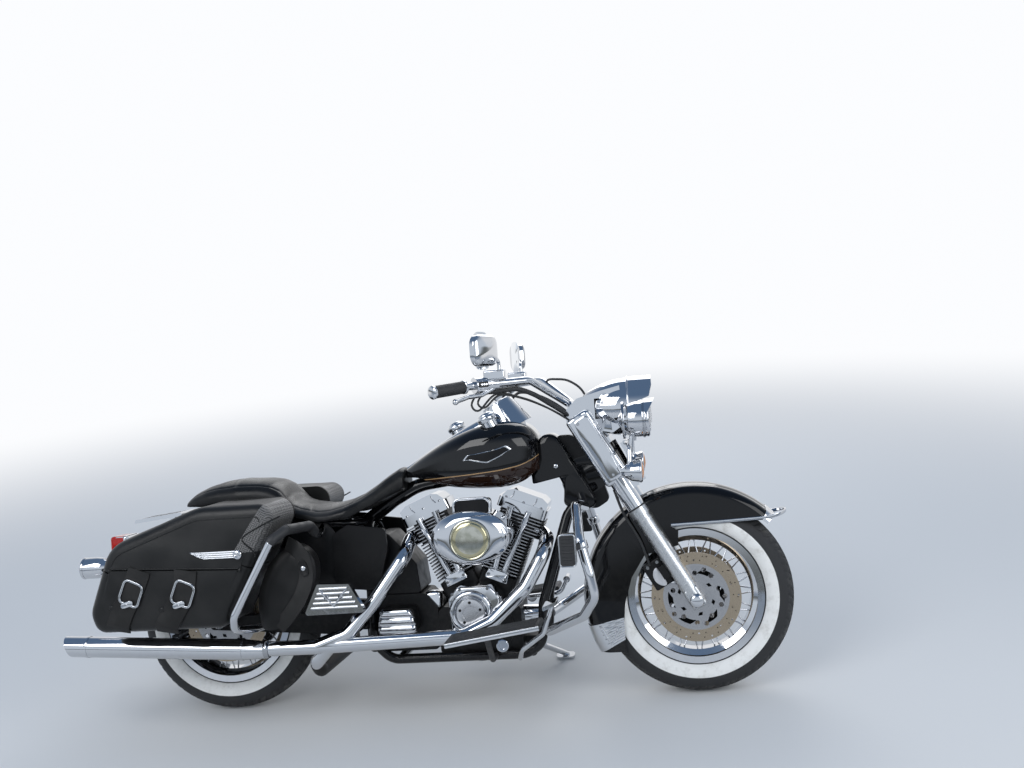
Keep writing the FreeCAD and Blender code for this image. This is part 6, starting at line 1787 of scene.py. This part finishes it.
def peg_dress():
    """Bright rims round the highway pegs' pads, ribs on them, and clamps on the guard."""
    loop = rounded([(403.5, 496.5), (403.5, 592.5), (451.5, 592.5), (451.5, 496.5)], 10, 6)
    rim = np.stack([loop[:, 0], np.full(len(loop), -428.5), loop[:, 1]], -1)
    section = oblong(2.2, 3.4, 1.6, 3)
    skin("peg_rim", carried(rim, section, up=(0, 1, 0)), "chassis", CHROME, mirror=True)
    ribs = [carried(np.array([(411.0, -430.4, z), (444.0, -430.4, z)]), oval(2.2, 2.6, 2.6, 12))
            for z in np.linspace(508, 581, 8)]
    skin("peg_ribs", ribs, "chassis", RUBBER, mirror=True)
    way = unit(np.array([26.0, -20, -104]))
    clamp = revolved([(-13, 16.2), (-13, 20), (-11, 21.4), (11, 21.4), (13, 20), (13, 16.2)],
                     (462.3, -333.2, 545), way, 40)
    skin("peg_clamp", clamp, "chassis", CHROME, mirror=True)
    foot = [revolved([(0, 16.2), (0, 20), (2, 21), (16, 21), (18, 20), (18, 16.2)],
                     (452.5, -64, 637.5), (-0.13, -0.97, 0.15), 40)]
    skin("guard_collar", foot, "chassis", DIM_CHROME, mirror=True)


peg_dress()

# Camera, floor and light


def photographer():
    """The camera fitted to the photograph: 1100 pixels of focal length on a 1024 wide frame.

    Its axes are turned by yaw about z, pitch about x and roll about y, in that order.
    """
    yaw, pitch, roll = 0.1333, 0.1616, 0.0960
    turn = (Matrix.Rotation(yaw, 3, "Z") @ Matrix.Rotation(-pitch, 3, "X")
            @ Matrix.Rotation(roll, 3, "Y"))
    right, ahead, up = turn.col[0], turn.col[1], turn.col[2]
    place = Matrix.Identity(4)
    for row in range(3):
        place[row][0] = right[row]
        place[row][1] = up[row]
        place[row][2] = -ahead[row]
    place[0][3] = 0.7335 + SHIFT_X
    place[1][3] = -3.4889 + SHIFT_Y
    place[2][3] = 1.6503
    data = bpy.data.cameras.new("Camera")
    data.sensor_fit = "HORIZONTAL"
    data.sensor_width = 36.0
    data.lens = 1100.0 / 1024.0 * 36.0
    data.clip_start = 0.05
    data.clip_end = 60.0
    camera = bpy.data.objects.new("Camera", data)
    camera.matrix_world = place
    bpy.context.scene.collection.objects.link(camera)
    bpy.context.scene.camera = camera


def seen_rays(tree):
    """1 for the rays that see the surround, straight, in a reflection or through glass."""
    rays = add(tree, "ShaderNodeLightPath").outputs
    some = arithmetic(tree, "ADD", rays["Is Camera Ray"], rays["Is Glossy Ray"], clamp=True)
    return arithmetic(tree, "ADD", some, rays["Is Transmission Ray"], clamp=True)


def studio():
    """A pale floor, a white surround that shines and glass also show, and soft lamps."""
    scene = bpy.context.scene
    scene.view_settings.view_transform = "Standard"
    world = bpy.data.worlds.new("Studio")
    scene.world = world
    world.use_nodes = True
    tree = world.node_tree
    tree.nodes.clear()
    ray = add(tree, "ShaderNodeTexCoord").outputs["Generated"]
    split = add(tree, "ShaderNodeSeparateXYZ", [("Vector", ray)])
    high = between(tree, split.outputs["Z"], 0.25, 0.8)
    near = between(tree, split.outputs["Y"], 0.30, 0.78)
    rise = between(tree, split.outputs["Z"], 0.0, 0.07)
    behind = blended(tree, rise, (0.17, 0.185, 0.19), (0.70, 0.77, 0.86))
    side = blended(tree, near, behind, (0.97, 0.98, 1.0))
    sky = blended(tree, high, side, (0.12, 0.19, 0.31))
    lit = add(tree, "ShaderNodeBackground", [("Color", sky)], Strength=1.35)
    seen = add(tree, "ShaderNodeBackground", [("Color", sky)], Strength=1.0)
    mix = add(tree, "ShaderNodeMixShader", [(0, seen_rays(tree)), (1, lit.outputs[0]),
                                            (2, seen.outputs[0])])
    add(tree, "ShaderNodeOutputWorld", [("Surface", mix.outputs[0])])
    floor_mesh = bpy.data.meshes.new("floor")
    s = 24.0
    floor_mesh.from_pydata([(-s, -s, 0), (s, -s, 0), (s, s, 0), (-s, s, 0)], [], [(0, 1, 2, 3)])
    floor = bpy.data.objects.new("floor", floor_mesh)
    scene.collection.objects.link(floor)
    pale = bpy.data.materials.new("Pale floor")
    pale.use_nodes = True
    tree = pale.node_tree
    ground = tree.nodes["Principled BSDF"]
    ground.inputs["Base Color"].default_value = (0.62, 0.62, 0.61, 1)
    ground.inputs["Roughness"].default_value = 0.85
    spot = add(tree, "ShaderNodeTexCoord").outputs["Object"]
    reach = add(tree, "ShaderNodeVectorMath", [(0, spot)], operation="LENGTH")
    split = add(tree, "ShaderNodeSeparateXYZ", [("Vector", spot)])
    far = arithmetic(tree, "MULTIPLY", between(tree, reach.outputs["Value"], 2.2, 7.5),
                     between(tree, split.outputs["Y"], -3.0, 1.5))
    far = arithmetic(tree, "MULTIPLY", far, seen_rays(tree))
    glow = add(tree, "ShaderNodeEmission", Color=(0.97, 0.98, 1.0, 1), Strength=1.0)
    mix = add(tree, "ShaderNodeMixShader", [(0, far), (1, ground.outputs[0]),
                                            (2, glow.outputs[0])])
    tree.links.new(mix.outputs[0], tree.nodes["Material Output"].inputs["Surface"])
    floor_mesh.materials.append(pale)
    for name, place, aim, size, power in (
            ("key", (-1.8, -3.2, 3.6), (0, 0, 0.5), 2.6, 95.0),
            ("fill", (3.4, -2.2, 2.4), (0.4, 0, 0.5), 2.2, 45.0),
            ("rim", (0.4, 3.4, 3.2), (0, 0, 0.6), 2.8, 60.0)):
        data = bpy.data.lights.new(name, "AREA")
        data.shape = "SQUARE"
        data.size = size
        data.energy = power
        lamp = bpy.data.objects.new(name, data)
        direction = np.array(aim) - np.array(place)
        lamp.matrix_world = (Matrix.Translation(place)
                             @ track(direction).to_4x4())
        scene.collection.objects.link(lamp)


def track(direction):
    """The turn that points a lamp's -z along a direction."""
    back = unit(-np.asarray(direction, float))
    side = unit(np.cross(np.array([0.0, 0.0, 1.0]), back))
    up = np.cross(back, side)
    return Matrix(np.stack([side, up, back], -1).tolist())


photographer()
studio()
